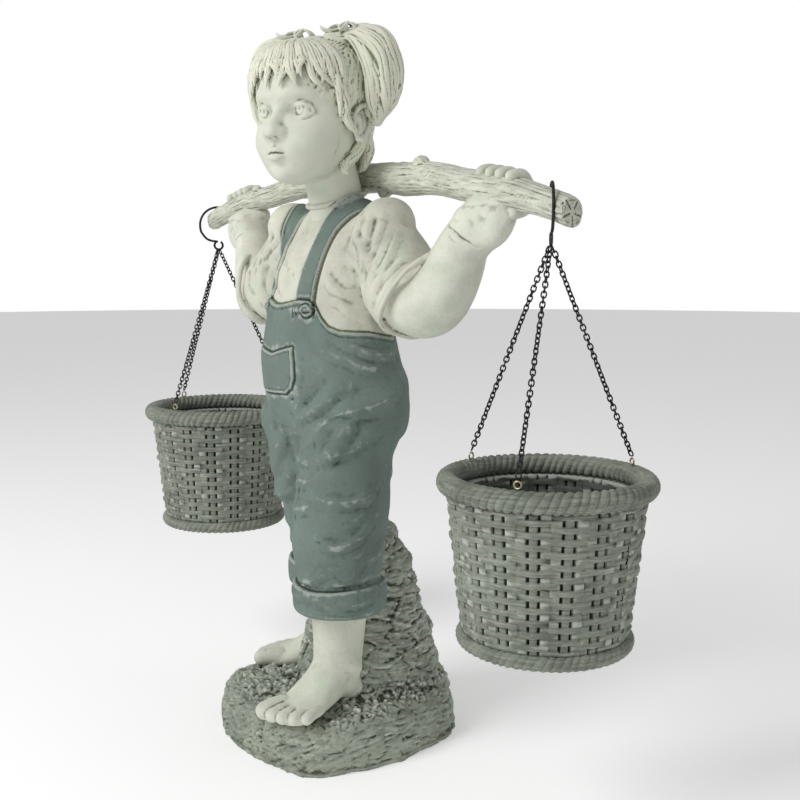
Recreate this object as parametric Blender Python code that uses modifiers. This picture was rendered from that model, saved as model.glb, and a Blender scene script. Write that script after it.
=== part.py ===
"""Garden statue of a small girl who carries two woven baskets on a branch across her shoulders.

The girl, her branch and the rock under her are one casting. The two hooks, the six chains,
their wire eyes and the two baskets are pieces of their own. The girl faces -Y and +X is her
left. The origin is on the ground, under the middle of the whole work.
"""

import math

import bmesh
import bpy
import numpy as np
from mathutils import Euler, Matrix, Vector
from mathutils.bvhtree import BVHTree

# Driving sizes, in metres
STATUE_HEIGHT = 0.640

BASKET_RIM_WIDTH = 0.165
BASKET_FOOT_WIDTH = 0.134
BASKET_HEIGHT = 0.132
BASKET_WALL = 0.0075
BASKET_FLOOR = 0.009
RIM_ROLL = 0.0082
FOOT_ROLL = 0.0062
BASKET_DROP = 0.1706

HOOK_INSETS = {"left": 0.022, "right": 0.010}
HOOK_WIRE = 0.0024
HOOK_EASE = 0.00066
HOOK_CLEARANCE = 0.0008
HOOK_NECK = 0.0016
HOOK_EYE = 0.0044
CHAIN_WIDTH = 0.0058
CHAIN_WIRE = 0.0018
CHAIN_PITCH = 0.0062
EYE_WIRE = 0.0014
EYE_WIDTH = 0.0066

# How fine the carving is
CLAY_GRAIN = 0.0030
SOFT_GRAIN = 0.0042
STATUE_TRIANGLES = 7000
BASKET_SIDES = 32

# The figure's points are in 640ths of its height, which are millimetres at its real size
UNIT = STATUE_HEIGHT / 640.0
HEAD_CENTRE = Vector((0, -28, 563))
HEAD_TURN = math.radians(18.0)
BRANCH_Y = 12.4
BRANCH_ENDS = {"left": 268.0, "right": 256.0}

# How each hook is turned about the upright, and where its basket's three eyes stand round the rim,
# in degrees from +X
HOOK_TURN = {"left": 48.0, "right": -20.0}
EYES_AT = {"left": (70, 190, 298), "right": (61, 188, 289)}


def clear_scene():
    for item in list(bpy.data.objects):
        bpy.data.objects.remove(item, do_unlink=True)


def new_collection(name):
    group = bpy.data.collections.new(name)
    bpy.context.scene.collection.children.link(group)
    return group


def make_material(name, colour, roughness, metallic=0.0):
    """A plain Principled material."""
    material = bpy.data.materials.new(name)
    material.use_nodes = True
    shader = material.node_tree.nodes["Principled BSDF"]
    shader.inputs["Base Color"].default_value = (*colour, 1.0)
    shader.inputs["Roughness"].default_value = roughness
    shader.inputs["Metallic"].default_value = metallic
    return material


def evaluated_mesh(item):
    """The mesh that the object's modifiers give, as a new mesh."""
    graph = bpy.context.evaluated_depsgraph_get()
    return bpy.data.meshes.new_from_object(item.evaluated_get(graph))


def smooth_path(points, steps):
    """Points on a Catmull-Rom curve through the given rows of numbers, steps for each stretch."""
    rows = np.array(points, float)
    rows = np.vstack([2 * rows[0] - rows[1], rows, 2 * rows[-1] - rows[-2]])
    found = []
    for i in range(1, len(rows) - 2):
        a, b, c, d = rows[i - 1 : i + 3]
        for t in np.arange(steps) / steps:
            found.append(
                0.5 * (2 * b + (c - a) * t + (2 * a - 5 * b + 4 * c - d) * t**2 + (3 * b - a - 3 * c + d) * t**3)
            )
    found.append(rows[-2])
    return np.array(found)


class Clay:
    """Forms in figure units, pressed together and made one skin."""

    def __init__(self):
        self.mesh = bmesh.new()

    def ball(self, centre, radii, turn=(0, 0, 0), sides=16):
        """An ellipsoid, turned by three angles in degrees."""
        place = Matrix.Translation(Vector(centre)) @ Euler([math.radians(a) for a in turn]).to_matrix().to_4x4()
        stretch = Matrix.Diagonal((*radii, 1.0))
        bmesh.ops.create_uvsphere(
            self.mesh, u_segments=sides, v_segments=sides // 2 + 2, radius=1.0, matrix=place @ stretch
        )

    def limb(self, points, steps=4, sides=12, across=None):
        """A rounded tube through rows of x, y, z, radius. Rows may add a second radius, along across."""
        rows = smooth_path([(*point, point[3])[:5] for point in points], steps)
        centres, wide, thick = rows[:, :3], rows[:, 3], rows[:, 4]
        along = np.gradient(centres, axis=0)
        along /= np.linalg.norm(along, axis=1)[:, None]
        side = np.array(across, float) if across is not None else np.array([0.31, 0.17, 0.93])
        sections = []
        for centre, tangent, r1, r2 in zip(centres, along, wide, thick):
            side = side - tangent * (side @ tangent)
            side /= np.linalg.norm(side)
            sections.append((centre, tangent, side, np.cross(tangent, side), r1, r2))
        first, last = sections[0], sections[-1]
        rings = [self._ring(first, sides, -math.cos(a), math.sin(a)) for a in (0.45, 1.0)]
        rings += [self._ring(section, sides, 0.0, 1.0) for section in sections]
        rings += [self._ring(last, sides, math.cos(a), math.sin(a)) for a in (1.0, 0.45)]
        self._skin(rings)

    def _ring(self, section, sides, ahead, share):
        centre, tangent, side, up, r1, r2 = section
        middle = centre + tangent * ahead * min(r1, r2)
        turns = [2 * math.pi * i / sides for i in range(sides)]
        return [
            self.mesh.verts.new(middle + (side * math.cos(t) * r1 + up * math.sin(t) * r2) * share) for t in turns
        ]

    def stack(self, sections, steps=4, sides=32, power=2.0, turn=0.0):
        """A body of level sections, rows of x, y, z, half width along X, half width along Y."""
        rings = []
        ahead, aside = math.cos(turn), math.sin(turn)
        for x, y, z, wide, deep in smooth_path(sections, steps):
            ring = []
            for i in range(sides):
                t = 2 * math.pi * i / sides
                c, s = math.cos(t), math.sin(t)
                reach = (abs(c) ** power + abs(s) ** power) ** (-1 / power)
                u, v = wide * c * reach, deep * s * reach
                ring.append(self.mesh.verts.new((x + u * ahead - v * aside, y + u * aside + v * ahead, z)))
            rings.append(ring)
        self._skin(rings)

    def slab(self, outline, middle, levels):
        """A body of one outline, made larger or smaller about a middle at each level of z and size."""
        corners = smooth_path([*outline[-1:], *outline, *outline[:2]], 4)[4:-5]
        rings = []
        for z, size in levels:
            ring = np.array(middle) + (corners - middle) * size
            rings.append([self.mesh.verts.new((x, y, z)) for x, y in ring])
        self._skin(rings)

    def _skin(self, rings):
        for low, high in zip(rings, rings[1:]):
            for i in range(len(low)):
                j = (i + 1) % len(low)
                self.mesh.faces.new((low[i], low[j], high[j], high[i]))
        self.mesh.faces.new(list(reversed(rings[0])))
        self.mesh.faces.new(rings[-1])

    def add(self, mesh):
        """Presses in a mesh in metres."""
        start = len(self.mesh.verts)
        self.mesh.from_mesh(mesh)
        self.mesh.verts.ensure_lookup_table()
        for vertex in self.mesh.verts[start:]:
            vertex.co /= UNIT

    def skin(self, grain, rounds):
        """One closed skin over all the forms, in metres, smoothed the given number of times."""
        mesh = bpy.data.meshes.new("clay")
        bmesh.ops.scale(self.mesh, vec=(UNIT, UNIT, UNIT), verts=self.mesh.verts)
        bmesh.ops.recalc_face_normals(self.mesh, faces=self.mesh.faces)
        self.mesh.to_mesh(mesh)
        self.mesh.free()
        item = bpy.data.objects.new("clay", mesh)
        bpy.context.scene.collection.objects.link(item)
        remesh = item.modifiers.new("skin", "REMESH")
        remesh.mode = "VOXEL"
        remesh.voxel_size = grain
        if rounds:
            smooth = item.modifiers.new("rub", "SMOOTH")
            smooth.factor = 0.5
            smooth.iterations = rounds
        made = evaluated_mesh(item)
        bpy.data.objects.remove(item)
        return made


def on_head(x, y, z):
    """A point given from the middle of the head, in the figure's frame."""
    c, s = math.cos(HEAD_TURN), math.sin(HEAD_TURN)
    return HEAD_CENTRE + Vector((x * c - y * s, x * s + y * c, z))


def head_rows(rows):
    """Rows of x, y, z, sizes given from the middle of the head, in the figure's frame."""
    return [(*on_head(*row[:3]), *row[3:]) for row in rows]


def branch_middle(x):
    """The middle of the branch at x, which droops to both ends and bows behind the neck."""
    droop = 509 - 0.00049 * x * x - 0.012 * x + 0.9 * math.sin(0.061 * x + 1)
    bow = 20.0 * math.exp(-((x / 105.0) ** 2)) + 0.9 * math.sin(0.085 * x)
    return Vector((x, BRANCH_Y + bow, droop))


def branch_radius(x):
    """The branch is thicker on her left."""
    return float(np.interp(x, [-264, -200, -120, 0, 70, 130, 200, 235, 264], [9.3, 10.3, 11.0, 12.8, 14.0, 12.9, 12.7, 11.2, 11.2]))


def body_forms(clay):
    """Trunk, neck and head under the clothes."""
    clay.stack(
        [
            (0, -3, 240, 50, 37),
            (0, -3, 265, 58, 41),
            (0, -4, 300, 74, 55),
            (0, -8, 330, 73, 56),
            (0, -12, 352, 70, 54),
            (0, -13, 380, 65, 50),
            (0, -10, 410, 62, 46),
            (0, -4, 440, 63, 40),
            (0, 2, 462, 58, 33),
            (0, 4, 478, 42, 27),
            (0, 3, 490, 25, 23),
        ]
    )
    for side in (-1, 1):
        clay.ball((side * 30, 13, 314), (33, 31, 38))
        clay.ball((side * 64 - (side < 0) * 4, 4 - (side < 0) * 10, 467), (23, 25, 23))
    clay.limb([(0, -2, 476, 26), (1, -8, 500, 24), (3, -17, 530, 23)])
    clay.stack(
        [
            (*on_head(0, -24, -61), 9.6, 9),
            (*on_head(0, -25, -58), 18, 16),
            (*on_head(0, -20, -51), 27.5, 26),
            (*on_head(0, -14, -40), 35.5, 35),
            (*on_head(0, -8, -27), 41.5, 42),
            (*on_head(0, -4, -13), 44, 46),
            (*on_head(0, 1, 0), 46, 51),
            (*on_head(0, 5, 14), 48, 56),
            (*on_head(0, 7, 28), 47.5, 56),
            (*on_head(0, 8, 41), 44, 50),
            (*on_head(0, 8, 51), 32, 37),
            (*on_head(0, 8, 57), 16, 18),
        ],
        turn=HEAD_TURN,
    )


def trouser_legs(clay):
    """The two legs of the overalls down to the cuffs. Her left leg is ahead."""
    clay.stack([(36, -28, 138, 35, 34), (36, -29, 162, 35, 36), (35, -29, 190, 38, 39), (35, -25, 222, 39, 41),
                (33, -19, 262, 37, 40), (32, -8, 300, 42, 46)])
    clay.stack([(-39, 12, 138, 33, 33), (-38, 11, 162, 32, 33), (-36, 8, 190, 34, 36), (-36, 1, 222, 38, 39),
                (-35, -6, 262, 40, 42), (-32, -7, 300, 42, 46)])


def arm_forms(clay, side):
    """Upper arm in its sleeve and the bare forearm that comes up to the branch."""
    clay.limb([(side * 58, 1, 452, 30), (side * 78, 0, 433, 33), (side * 98, -4, 410, 35)])
    clay.limb([(side * 96, -5, 411, 29), (side * 124, -4, 400, 27.5), (side * 139, 1, 412, 26.5),
               (side * 151, 4, 432, 23.5), (side * 159, 6, 448, 20.5), (side * 167, 8, 459, 19)])


def hand_forms(clay, side):
    """A hand that holds the branch from below, its fingers over the top."""
    clay.limb([(side * 163, 7, 450, 18), (side * 171, 10, 459, 22, 16), (side * 180, 12, 468, 28, 15), (side * 183, 13, 475, 31, 14)],
              across=(1, 0, 0))
    for finger in range(4):
        x = side * (177 + 11.4 * finger)
        middle = branch_middle(x)
        reach = branch_radius(x) + 1.8
        rows = []
        for angle in (-100, -50, 0, 45, 88, 118):
            a = math.radians(angle)
            rows.append((x, middle.y + reach * math.cos(a), middle.z + reach * math.sin(a), 6.0 - 0.006 * (angle + 100)))
        clay.limb(rows, sides=10)
    thumb = [(side * 160, 1, 462, 9), (side * 168, -1, 471, 8.5), (side * 182, -2, 473, 8), (side * 200, -1, 472, 7)]
    clay.limb(thumb)


def foot_forms(clay, heel, turn, sign):
    """A bare foot from its heel, turned outwards by turn degrees. sign is 1 on her left foot."""
    c, s = math.cos(math.radians(turn)), math.sin(math.radians(turn))

    def at(across, ahead, z):
        across *= sign
        return (heel[0] + across * c + ahead * s * sign, heel[1] + across * s * sign - ahead * c, z)

    clay.limb([(*at(0, 18, 130), 24), (*at(0, 19, 100), 21.5), (*at(0, 19, 76), 20), (*at(0, 17, 62), 17)])
    clay.ball(at(0, 8, 55), (17, 19, 15), turn=(0, 0, turn * sign))
    clay.limb([(*at(0, 14, 62), 17, 14), (*at(0, 34, 60), 19, 15), (*at(2, 55, 54), 22, 11.5),
               (*at(3, 72, 50), 24, 8.5), (*at(3, 80, 49), 22, 7)], across=(c, s * sign, 0))
    toes = [(-15, 92, 9.2, 8), (-2.5, 94, 6.6, 6.2), (7.5, 91, 6.2, 5.8), (16.5, 86, 5.8, 5.5), (24.5, 79, 5.4, 5.2)]
    for across, ahead, wide, high in toes:
        clay.limb([(*at(across * 0.85, ahead - 16, 53), wide * 0.85, high), (*at(across, ahead, 51.5), wide, high)],
                  across=(c, s * sign, 0))


def cuff_forms(clay, centre, size, low, high):
    """A rolled cuff, fuller than the leg."""
    x, y = centre
    middle = (low + high) / 2
    clay.stack([(x, y, low, size * 0.93, size * 0.92), (x, y, low + 3, size, size), (x, y, middle, size * 1.03, size * 1.02),
                (x, y, high - 3, size * 1.02, size), (x, y, high, size * 0.96, size * 0.94)], steps=2)


def ear_forms(clay, side):
    clay.ball(on_head(side * 47, 4, -12), (4.5, 9, 15), turn=(0, 0, math.degrees(HEAD_TURN)))


def hair_cap(clay):
    """Hair combed back over the skull to the two ties."""
    clay.ball(on_head(0, 10, 18), (53, 58, 46), turn=(0, 0, math.degrees(HEAD_TURN)))
    clay.ball(on_head(0, 25, -6), (41, 34, 38), turn=(0, 0, math.degrees(HEAD_TURN)))
    for side in (-1, 1):
        clay.limb(head_rows([(side * 20, 6, 55, 13), (side * 33, 16, 59, 11)]))


def fringe_forms(clay):
    """Pointed locks over the forehead and in front of the ears."""
    for index in range(12):
        a = math.radians(-72 + 13.1 * index)
        sway = math.radians(5.0 * math.sin(index * 2.3))
        low = 21 + 5 * math.sin(index * 1.7) - 14 * abs(math.sin(a)) ** 3
        rows = []
        for lift, turn, reach, size in ((55, 0.55 * a, 0.62, 7.5), (47, 0.85 * a, 0.88, 8.0), (low + 13, a, 1.03, 6.5),
                                        (low + 5, a + sway, 1.06, 4.5), (low - 2, a + 1.6 * sway, 1.05, 1.8)):
            rows.append((50 * reach * math.sin(turn), 5 - 56 * reach * math.cos(turn), lift, size, size * 0.6))
        clay.limb(head_rows(rows), sides=8, across=on_head(math.cos(a), math.sin(a), 0) - HEAD_CENTRE)
    for side in (-1, 1):
        clay.limb(head_rows([(side * 46, -19, 20, 6), (side * 46.5, -16, 6, 6), (side * 45, -13, -8, 5),
                             (side * 43.5, -15, -18, 4), (side * 42, -13, -27, 2.5)]), sides=8)
        clay.ball(on_head(side * 33, 12, -42), (8, 8, 9))


def pigtail_forms(clay, side):
    """One bunch of hair, its locks from the tie down to blunt points."""
    spine = [(31, 15, 61, 10), (42, 16, 61, 14), (53, 17, 52, 17), (60, 17, 34, 18), (60, 17, 12, 16), (57, 16, -6, 11)]
    spine = [(x - 2 * side, y, z, r) for x, y, z, r in spine]
    clay.limb(head_rows([(side * x, y, z, r) for x, y, z, r in spine]))
    for lock in range(8):
        a = 2 * math.pi * lock / 8
        rows = []
        for step, (x, y, z, r) in enumerate(spine):
            turn = a + 0.16 * step
            rows.append((side * (x + math.cos(turn) * r * 0.66), y + math.sin(turn) * r * 0.78,
                         z + math.cos(turn) * r * 0.25 - (step == 5) * 4 * (lock % 3), max(3.0, r * 0.40)))
        clay.limb(head_rows(rows), sides=8)


def bow_forms(clay, side):
    """The ribbon's knot and its two loops on top of the tie."""
    clay.ball(on_head(side * 29, 12, 68), (6, 6, 6))
    for way in (-1, 1):
        clay.limb(head_rows([(side * 28, 12, 68, 4), (side * 28 + way * 7, 8, 73, 7, 3), (side * 28 + way * 14, 6, 72, 6, 3)]),
                  across=(0, 0, 1))


def strap_path(side):
    """The middle of a strap, from the bib's button over the shoulder to the back."""
    rows = [(38, -60, 393), (36, -58, 406), (34, -52, 424), (34, -40, 448), (36, -26, 468),
            (41, -4, 484), (42, 26, 478), (34, 42, 448), (22, 44, 412), (16, 44, 392)]
    turned = [11, 11, 11, 11, 10, 6, 2, 0, 0, 0]
    return [(side * x - shift, y, z) for (x, y, z), shift in zip(rows, turned)]


def branch_forms(clay):
    """The crooked branch with its knots."""
    clay.limb([(*branch_middle(x), branch_radius(x)) for x in np.linspace(-248, 260, 33)], steps=2, sides=14)
    for x in (-BRANCH_ENDS["right"], BRANCH_ENDS["left"]):
        clay.limb([(*branch_middle(x * 0.94), branch_radius(x) * 0.99), (*branch_middle(x), branch_radius(x) * 0.97)], steps=1, sides=14)
    for x, angle, size in ((90, 74, 6.5), (-96, 60, 6), (-158, 60, 5), (30, -70, 6)):
        middle = branch_middle(x)
        a = math.radians(angle)
        r = branch_radius(x)
        clay.ball((x, middle.y - r * math.cos(a), middle.z + r * math.sin(a)), (size * 1.3, size, size))


# The plinth's edge on the ground, seen from above
PLINTH = [(-95, -72), (-62, -92), (-23, -99), (35, -97), (72, -77), (88, -35), (88, 22), (76, 66), (44, 93), (0, 105),
          (-50, 102), (-86, 72), (-102, 22), (-104, -30)]


def rock_forms(clay):
    """The plinth and the mound of rock behind her legs, down below the ground to be cut off flat."""
    clay.slab(PLINTH, (-6, 6), [(-8, 1.0), (4, 1.01), (20, 1.0), (33, 0.965), (42, 0.90), (47, 0.72), (48, 0.4)])
    clay.stack([(1, 30, 30, 71, 74), (2, 28, 70, 59, 61), (4, 26, 105, 50, 53), (5, 24, 140, 41, 44),
                (5, 23, 172, 33, 36), (5, 21, 200, 19, 20)], power=2.3, steps=3)


def tree_of(mesh):
    return BVHTree.FromPolygons([v.co for v in mesh.vertices], [p.vertices for p in mesh.polygons])


def bib_line(angle):
    """Height of the overalls' top edge at an angle in degrees round the trunk, 0 in front."""
    # The trunk is turned a little to her right
    return np.interp(np.abs(angle + 10.5), [0, 20, 34, 46, 52, 60, 70, 92, 118, 145, 158, 180],
                     [398, 400, 402, 402, 398, 383, 377, 375, 370, 386, 396, 397])


def points_of(mesh):
    points = np.zeros(len(mesh.vertices) * 3)
    mesh.vertices.foreach_get("co", points)
    normals = np.zeros(len(mesh.vertices) * 3)
    mesh.vertex_normals.foreach_get("vector", normals)
    return points.reshape(-1, 3), normals.reshape(-1, 3)


def overalls_share(points):
    """1 where the overalls cover the trunk and legs, 0 elsewhere, for points in figure units."""
    x, y, z = points.T
    angle = np.degrees(np.arctan2(x, -(y + 8)))
    edge = np.clip((bib_line(angle) - z) / 2.0 + 0.5, 0, 1)
    near_trunk = np.hypot(x / 88, (y + 4) / 74) < 1.0
    return edge * near_trunk * (z > 122)


def sculpt(mesh, carve):
    """Moves each point along its normal by carve, in figure units, of its place."""
    points, normals = points_of(mesh)
    moved = points + normals * (carve(points / UNIT, normals) * UNIT)[:, None]
    mesh.vertices.foreach_set("co", moved.astype(np.float32).ravel())
    mesh.update()


def distance_to_path(points, path):
    """Distance of each point to a line of points, and how far along it the nearest place is, from 0 to 1."""
    path = np.array(path, float)
    best = np.full(len(points), 1e9)
    share = np.zeros(len(points))
    for i in range(len(path) - 1):
        a, b = path[i], path[i + 1]
        t = np.clip((points - a) @ (b - a) / ((b - a) @ (b - a)), 0, 1)
        d = np.linalg.norm(points - (a + t[:, None] * (b - a)), axis=1)
        nearer = d < best
        best[nearer] = d[nearer]
        share[nearer] = ((i + t) / (len(path) - 1))[nearer]
    return best, share


# Folds of the overalls: points on the cloth, the half width and the height of the ridge
FOLDS = [
    ([(64, 20, 318), (66, -10, 300), (52, -48, 280), (28, -66, 262), (8, -60, 250)], 7.0, 3.4),
    ([(70, -10, 330), (60, -44, 322), (36, -64, 318), (12, -70, 322)], 6.0, 2.2),
    ([(70, 22, 268), (74, -10, 258), (62, -44, 246), (36, -62, 238), (12, -50, 246)], 6.5, 3.0),
    ([(72, -2, 218), (66, -36, 226), (44, -56, 232)], 6.0, 2.6),
    ([(74, 6, 200), (66, -40, 182), (44, -62, 176), (20, -56, 186)], 6.0, 3.0),
    ([(66, -40, 160), (40, -64, 152), (14, -50, 158)], 5.0, 2.4),
    ([(6, -62, 300), (-16, -60, 270), (-30, -50, 240)], 6.0, 2.4),
    ([(-70, 20, 320), (-60, -20, 290), (-36, -44, 268)], 7.0, 3.0),
    ([(-76, 0, 230), (-60, -26, 214), (-30, -36, 216)], 6.0, 2.6),
    ([(40, 58, 300), (56, 40, 270), (60, 20, 240)], 7.0, 3.0),
    ([(-40, 58, 300), (-56, 40, 270), (-60, 20, 240)], 7.0, 3.0),
]
# Folds of the shirt and sleeves
PLEATS = [
    ([(70, -26, 452), (60, -38, 430), (52, -46, 404)], 4.5, 2.8),
    ([(84, -24, 446), (74, -36, 420), (62, -46, 388)], 4.5, 2.8),
    ([(100, -26, 434), (88, -38, 408), (78, -40, 384)], 4.5, 2.4),
    ([(10, -46, 450), (6, -52, 425), (14, -58, 405)], 5.0, 1.4),
    ([(-70, -26, 452), (-60, -38, 430), (-52, -46, 404)], 4.5, 2.8),
    ([(-84, -24, 446), (-74, -36, 420), (-62, -46, 388)], 4.5, 2.8),
]


def cloth_carving(points, normals):
    """The cloth's thickness over the body, its straps and its folds."""
    lift = 2.8 * overalls_share(points)
    for side in (-1, 1):
        d, _ = distance_to_path(points, smooth_path(strap_path(side), 4))
        lift += 3.0 * np.clip((10.5 - d) / 2.0, 0, 1) * (points[:, 2] > 388)
    for path, half, height in FOLDS + PLEATS:
        d, t = distance_to_path(points, smooth_path(path, 5))
        fade = np.sin(math.pi * np.clip(t, 0.04, 0.96)) ** 0.5
        lift += fade * height * (np.exp(-((d / half) ** 2)) - 0.45 * np.exp(-(((d - 2.1 * half) / (0.8 * half)) ** 2)))
    return lift


# Marks of the face from the middle of the head: place, size across, size up, how far it stands out
FACE_MARKS = [
    ((18, -46, -4), 11.0, 6.5, -5.0),
    ((18, -46, 6), 12.0, 4.0, 1.6),
    ((24, -42, -27), 14.0, 12.0, 3.0),
    ((0, -50, -1), 5.0, 6.0, -1.5),
    ((7, -50, -32), 4.0, 3.0, 1.0),
    ((0, -48, -45), 8.0, 2.6, -2.2),
    ((0, -48, -53), 10.0, 6.0, 3.0),
]


def face_carving(points, normals):
    """Eye hollows, brows, cheeks and chin."""
    local = (points - np.array(HEAD_CENTRE)) @ np.array(
        [[math.cos(HEAD_TURN), -math.sin(HEAD_TURN), 0], [math.sin(HEAD_TURN), math.cos(HEAD_TURN), 0], [0, 0, 1]]
    )
    lift = np.zeros(len(points))
    for (x, y, z), wide, high, out in FACE_MARKS:
        for side in (-1, 1) if x else (1,):
            u = (local[:, 0] - side * x) / wide
            w = (local[:, 2] - z) / high
            lift += out * np.exp(-(u * u + w * w)) * (local[:, 1] < -20)
    return lift


def rock_carving(points, normals):
    """Ledges and hollows of the rock."""
    x, y, z = points.T
    near_rock = np.clip((52 - z) / 6, 0, 1) + np.clip((y - 10) / 8, 0, 1) * (z < 205) * np.clip((206 - z) / 8, 0, 1)
    near_rock = np.clip(near_rock, 0, 1) * (z > 1)
    ledges = np.sin(z * 0.33 + 1.4 * np.sin(x * 0.05) + 1.1 * np.sin(y * 0.07))
    lumps = np.sin(x * 0.16 + z * 0.1) * np.sin(y * 0.19 - z * 0.13 + 1) + 0.6 * np.sin(x * 0.31 - y * 0.27)
    return near_rock * (1.5 * ledges + 1.4 * lumps)


def make_statue(group, material):
    """The girl, her branch and her rock, one solid."""
    clay = Clay()
    body_forms(clay)
    trouser_legs(clay)
    for side in (-1, 1):
        arm_forms(clay, side)
    body = clay.skin(SOFT_GRAIN * UNIT / 0.001, 7)
    sculpt(body, cloth_carving)
    sculpt(body, face_carving)

    clay = Clay()
    clay.add(body)
    # Nose, eyes and lips
    clay.limb(head_rows([(0, -44, 0, 5), (0, -50, -8, 5), (0, -55, -17, 5.5)]))
    clay.ball(on_head(0, -54, -19), (5.5, 5.5, 5))
    clay.limb(head_rows([(-8, -47, -37, 2), (-3, -51.5, -35.5, 2.6), (3, -51.5, -35.5, 2.6), (8, -47, -37, 2)]))
    clay.limb(head_rows([(-6, -48, -40, 2), (0, -51, -41.5, 3), (6, -48, -40, 2)]))
    for side in (-1, 1):
        clay.ball(on_head(side * 6, -50, -21), (4, 4, 3.6))
        clay.ball(on_head(side * 18, -37.5, -4.5), (9, 8.5, 8))
    for side in (-1, 1):
        hand_forms(clay, side)
        ear_forms(clay, side)
        pigtail_forms(clay, side)
        bow_forms(clay, side)
        # Sleeve hem
        clay.limb([(side * 92, -3, 417, 35), (side * 101, -5, 409, 36.5)], steps=1, sides=20)
    foot_forms(clay, (31, -10), 8, 1)
    foot_forms(clay, (-24, 33), 48, -1)
    cuff_forms(clay, (35, -28), 39, 131, 157)
    cuff_forms(clay, (-39, 12), 37, 131, 157)
    hair_cap(clay)
    fringe_forms(clay)
    branch_forms(clay)
    rock_forms(clay)
    skin = clay.skin(CLAY_GRAIN * UNIT / 0.001, 1)
    sculpt(skin, rock_carving)

    statue = bpy.data.objects.new("statue", skin)
    group.objects.link(statue)
    thin = statue.modifiers.new("fewer faces", "DECIMATE")
    thin.ratio = STATUE_TRIANGLES / (2.0 * len(skin.polygons))
    bpy.context.view_layer.update()
    final = evaluated_mesh(statue)
    statue.modifiers.clear()
    statue.data = final
    cut_flat(final)
    final.materials.clear()
    final.materials.append(material)
    final.shade_smooth()
    return statue


def cut_flat(mesh):
    """Cuts the mesh off at the ground and closes it with a flat underside."""
    work = bmesh.new()
    work.from_mesh(mesh)
    cut = bmesh.ops.bisect_plane(
        work, geom=[*work.verts, *work.edges, *work.faces], dist=1e-6, plane_co=(0, 0, 0), plane_no=(0, 0, -1), clear_outer=True
    )
    edges = [e for e in cut["geom_cut"] if isinstance(e, bmesh.types.BMEdge)]
    bmesh.ops.holes_fill(work, edges=edges, sides=0)
    bmesh.ops.triangulate(work, faces=work.faces)
    work.to_mesh(mesh)
    work.free()


def named_part(name, mesh, group, material):
    mesh.materials.clear()
    mesh.materials.append(material)
    item = bpy.data.objects.new(name, mesh)
    group.objects.link(item)
    return item


def sweep(points, radii, sides, name, closed=False, side_hint=(0.3, 0.2, 0.9)):
    """A mesh of round wire along the given points. radii gives each section's two half widths."""
    work = bmesh.new()
    points = np.array(points, float)
    ahead = np.roll(points, -1, 0) - np.roll(points, 1, 0) if closed else np.gradient(points, axis=0)
    rings = []
    across = np.array(side_hint, float)
    for point, along, (wide, thick) in zip(points, ahead, radii):
        along = along / np.linalg.norm(along)
        across = across - along * (across @ along)
        across /= np.linalg.norm(across)
        up = np.cross(along, across)
        turns = [2 * math.pi * i / sides for i in range(sides)]
        rings.append([work.verts.new(point + across * math.cos(t) * wide + up * math.sin(t) * thick) for t in turns])
    pairs = zip(rings, rings[1:] + rings[:1]) if closed else zip(rings, rings[1:])
    for low, high in pairs:
        for i in range(sides):
            j = (i + 1) % sides
            work.faces.new((low[i], low[j], high[j], high[i]))
    if not closed:
        work.faces.new(list(reversed(rings[0])))
        work.faces.new(rings[-1])
    bmesh.ops.recalc_face_normals(work, faces=work.faces)
    mesh = bpy.data.meshes.new(name)
    work.to_mesh(mesh)
    work.free()
    return mesh


def hook_spot(name, side):
    """How far out a hook hangs, and the branch's radius there."""
    x = side * (BRANCH_ENDS[name] * UNIT - HOOK_INSETS[name])
    return x, branch_radius(x / UNIT) * UNIT


def hook_bend():
    """The radius of the hooks' bend. Both are bent to go over the branch as the more turned one does."""
    widest = max(hook_spot(name, side)[1] / math.cos(math.radians(HOOK_TURN[name])) for name, side in (("left", 1), ("right", -1)))
    return widest + HOOK_EASE + HOOK_CLEARANCE + HOOK_WIRE / 2


def hook_bend_middle(name, side):
    """The middle of the hook's bend, as low as it hangs on the branch."""
    x, r = hook_spot(name, side)
    inside = hook_bend() - HOOK_WIRE / 2 - HOOK_CLEARANCE
    # In the hook's plane the branch's section is an ellipse, as wide as the hook is turned
    wide = r / math.cos(math.radians(HOOK_TURN[name]))
    if wide**2 / r > inside:
        below = math.sqrt((inside**2 - wide**2) / (1 + r**2 / (wide**2 - r**2)))
    else:
        below = inside - r
    spot = branch_middle(x / UNIT) * UNIT
    return Vector((x, spot.y, spot.z - below))


def hook_foot(name, side):
    """The middle of the eye at the hook's foot."""
    return hook_bend_middle(name, side) - Vector((0, 0, hook_bend() + HOOK_NECK))


def hook_mesh(name, side):
    """An open hook over the branch with a small eye at its foot."""
    size = hook_bend()
    drop = size + HOOK_NECK
    bend = [(size * math.sin(math.radians(a)), size * math.cos(math.radians(a))) for a in range(-28, 120, 14)]
    path = bend + [(size * 0.66, -size * 0.72), (size * 0.34, -drop + HOOK_EYE * 1.05)]
    eye = [(HOOK_EYE * math.sin(math.radians(a)), -drop + HOOK_EYE * math.cos(math.radians(a))) for a in range(20, 335, 35)]
    foot = hook_foot(name, side)
    a = math.radians(HOOK_TURN[name])
    ahead = Vector((math.sin(a), -math.cos(a), 0))
    rows = [foot + ahead * u + Vector((0, 0, w + drop)) for u, w in path + eye]
    wire = HOOK_WIRE / 2
    return sweep(rows, [(wire, wire)] * len(rows), 6, "hook", side_hint=(math.cos(a), math.sin(a), 0))


def basket_middle(name, side):
    """The middle of the basket's underside."""
    return hook_foot(name, side) - Vector((0, 0, BASKET_DROP + BASKET_HEIGHT))


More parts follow.
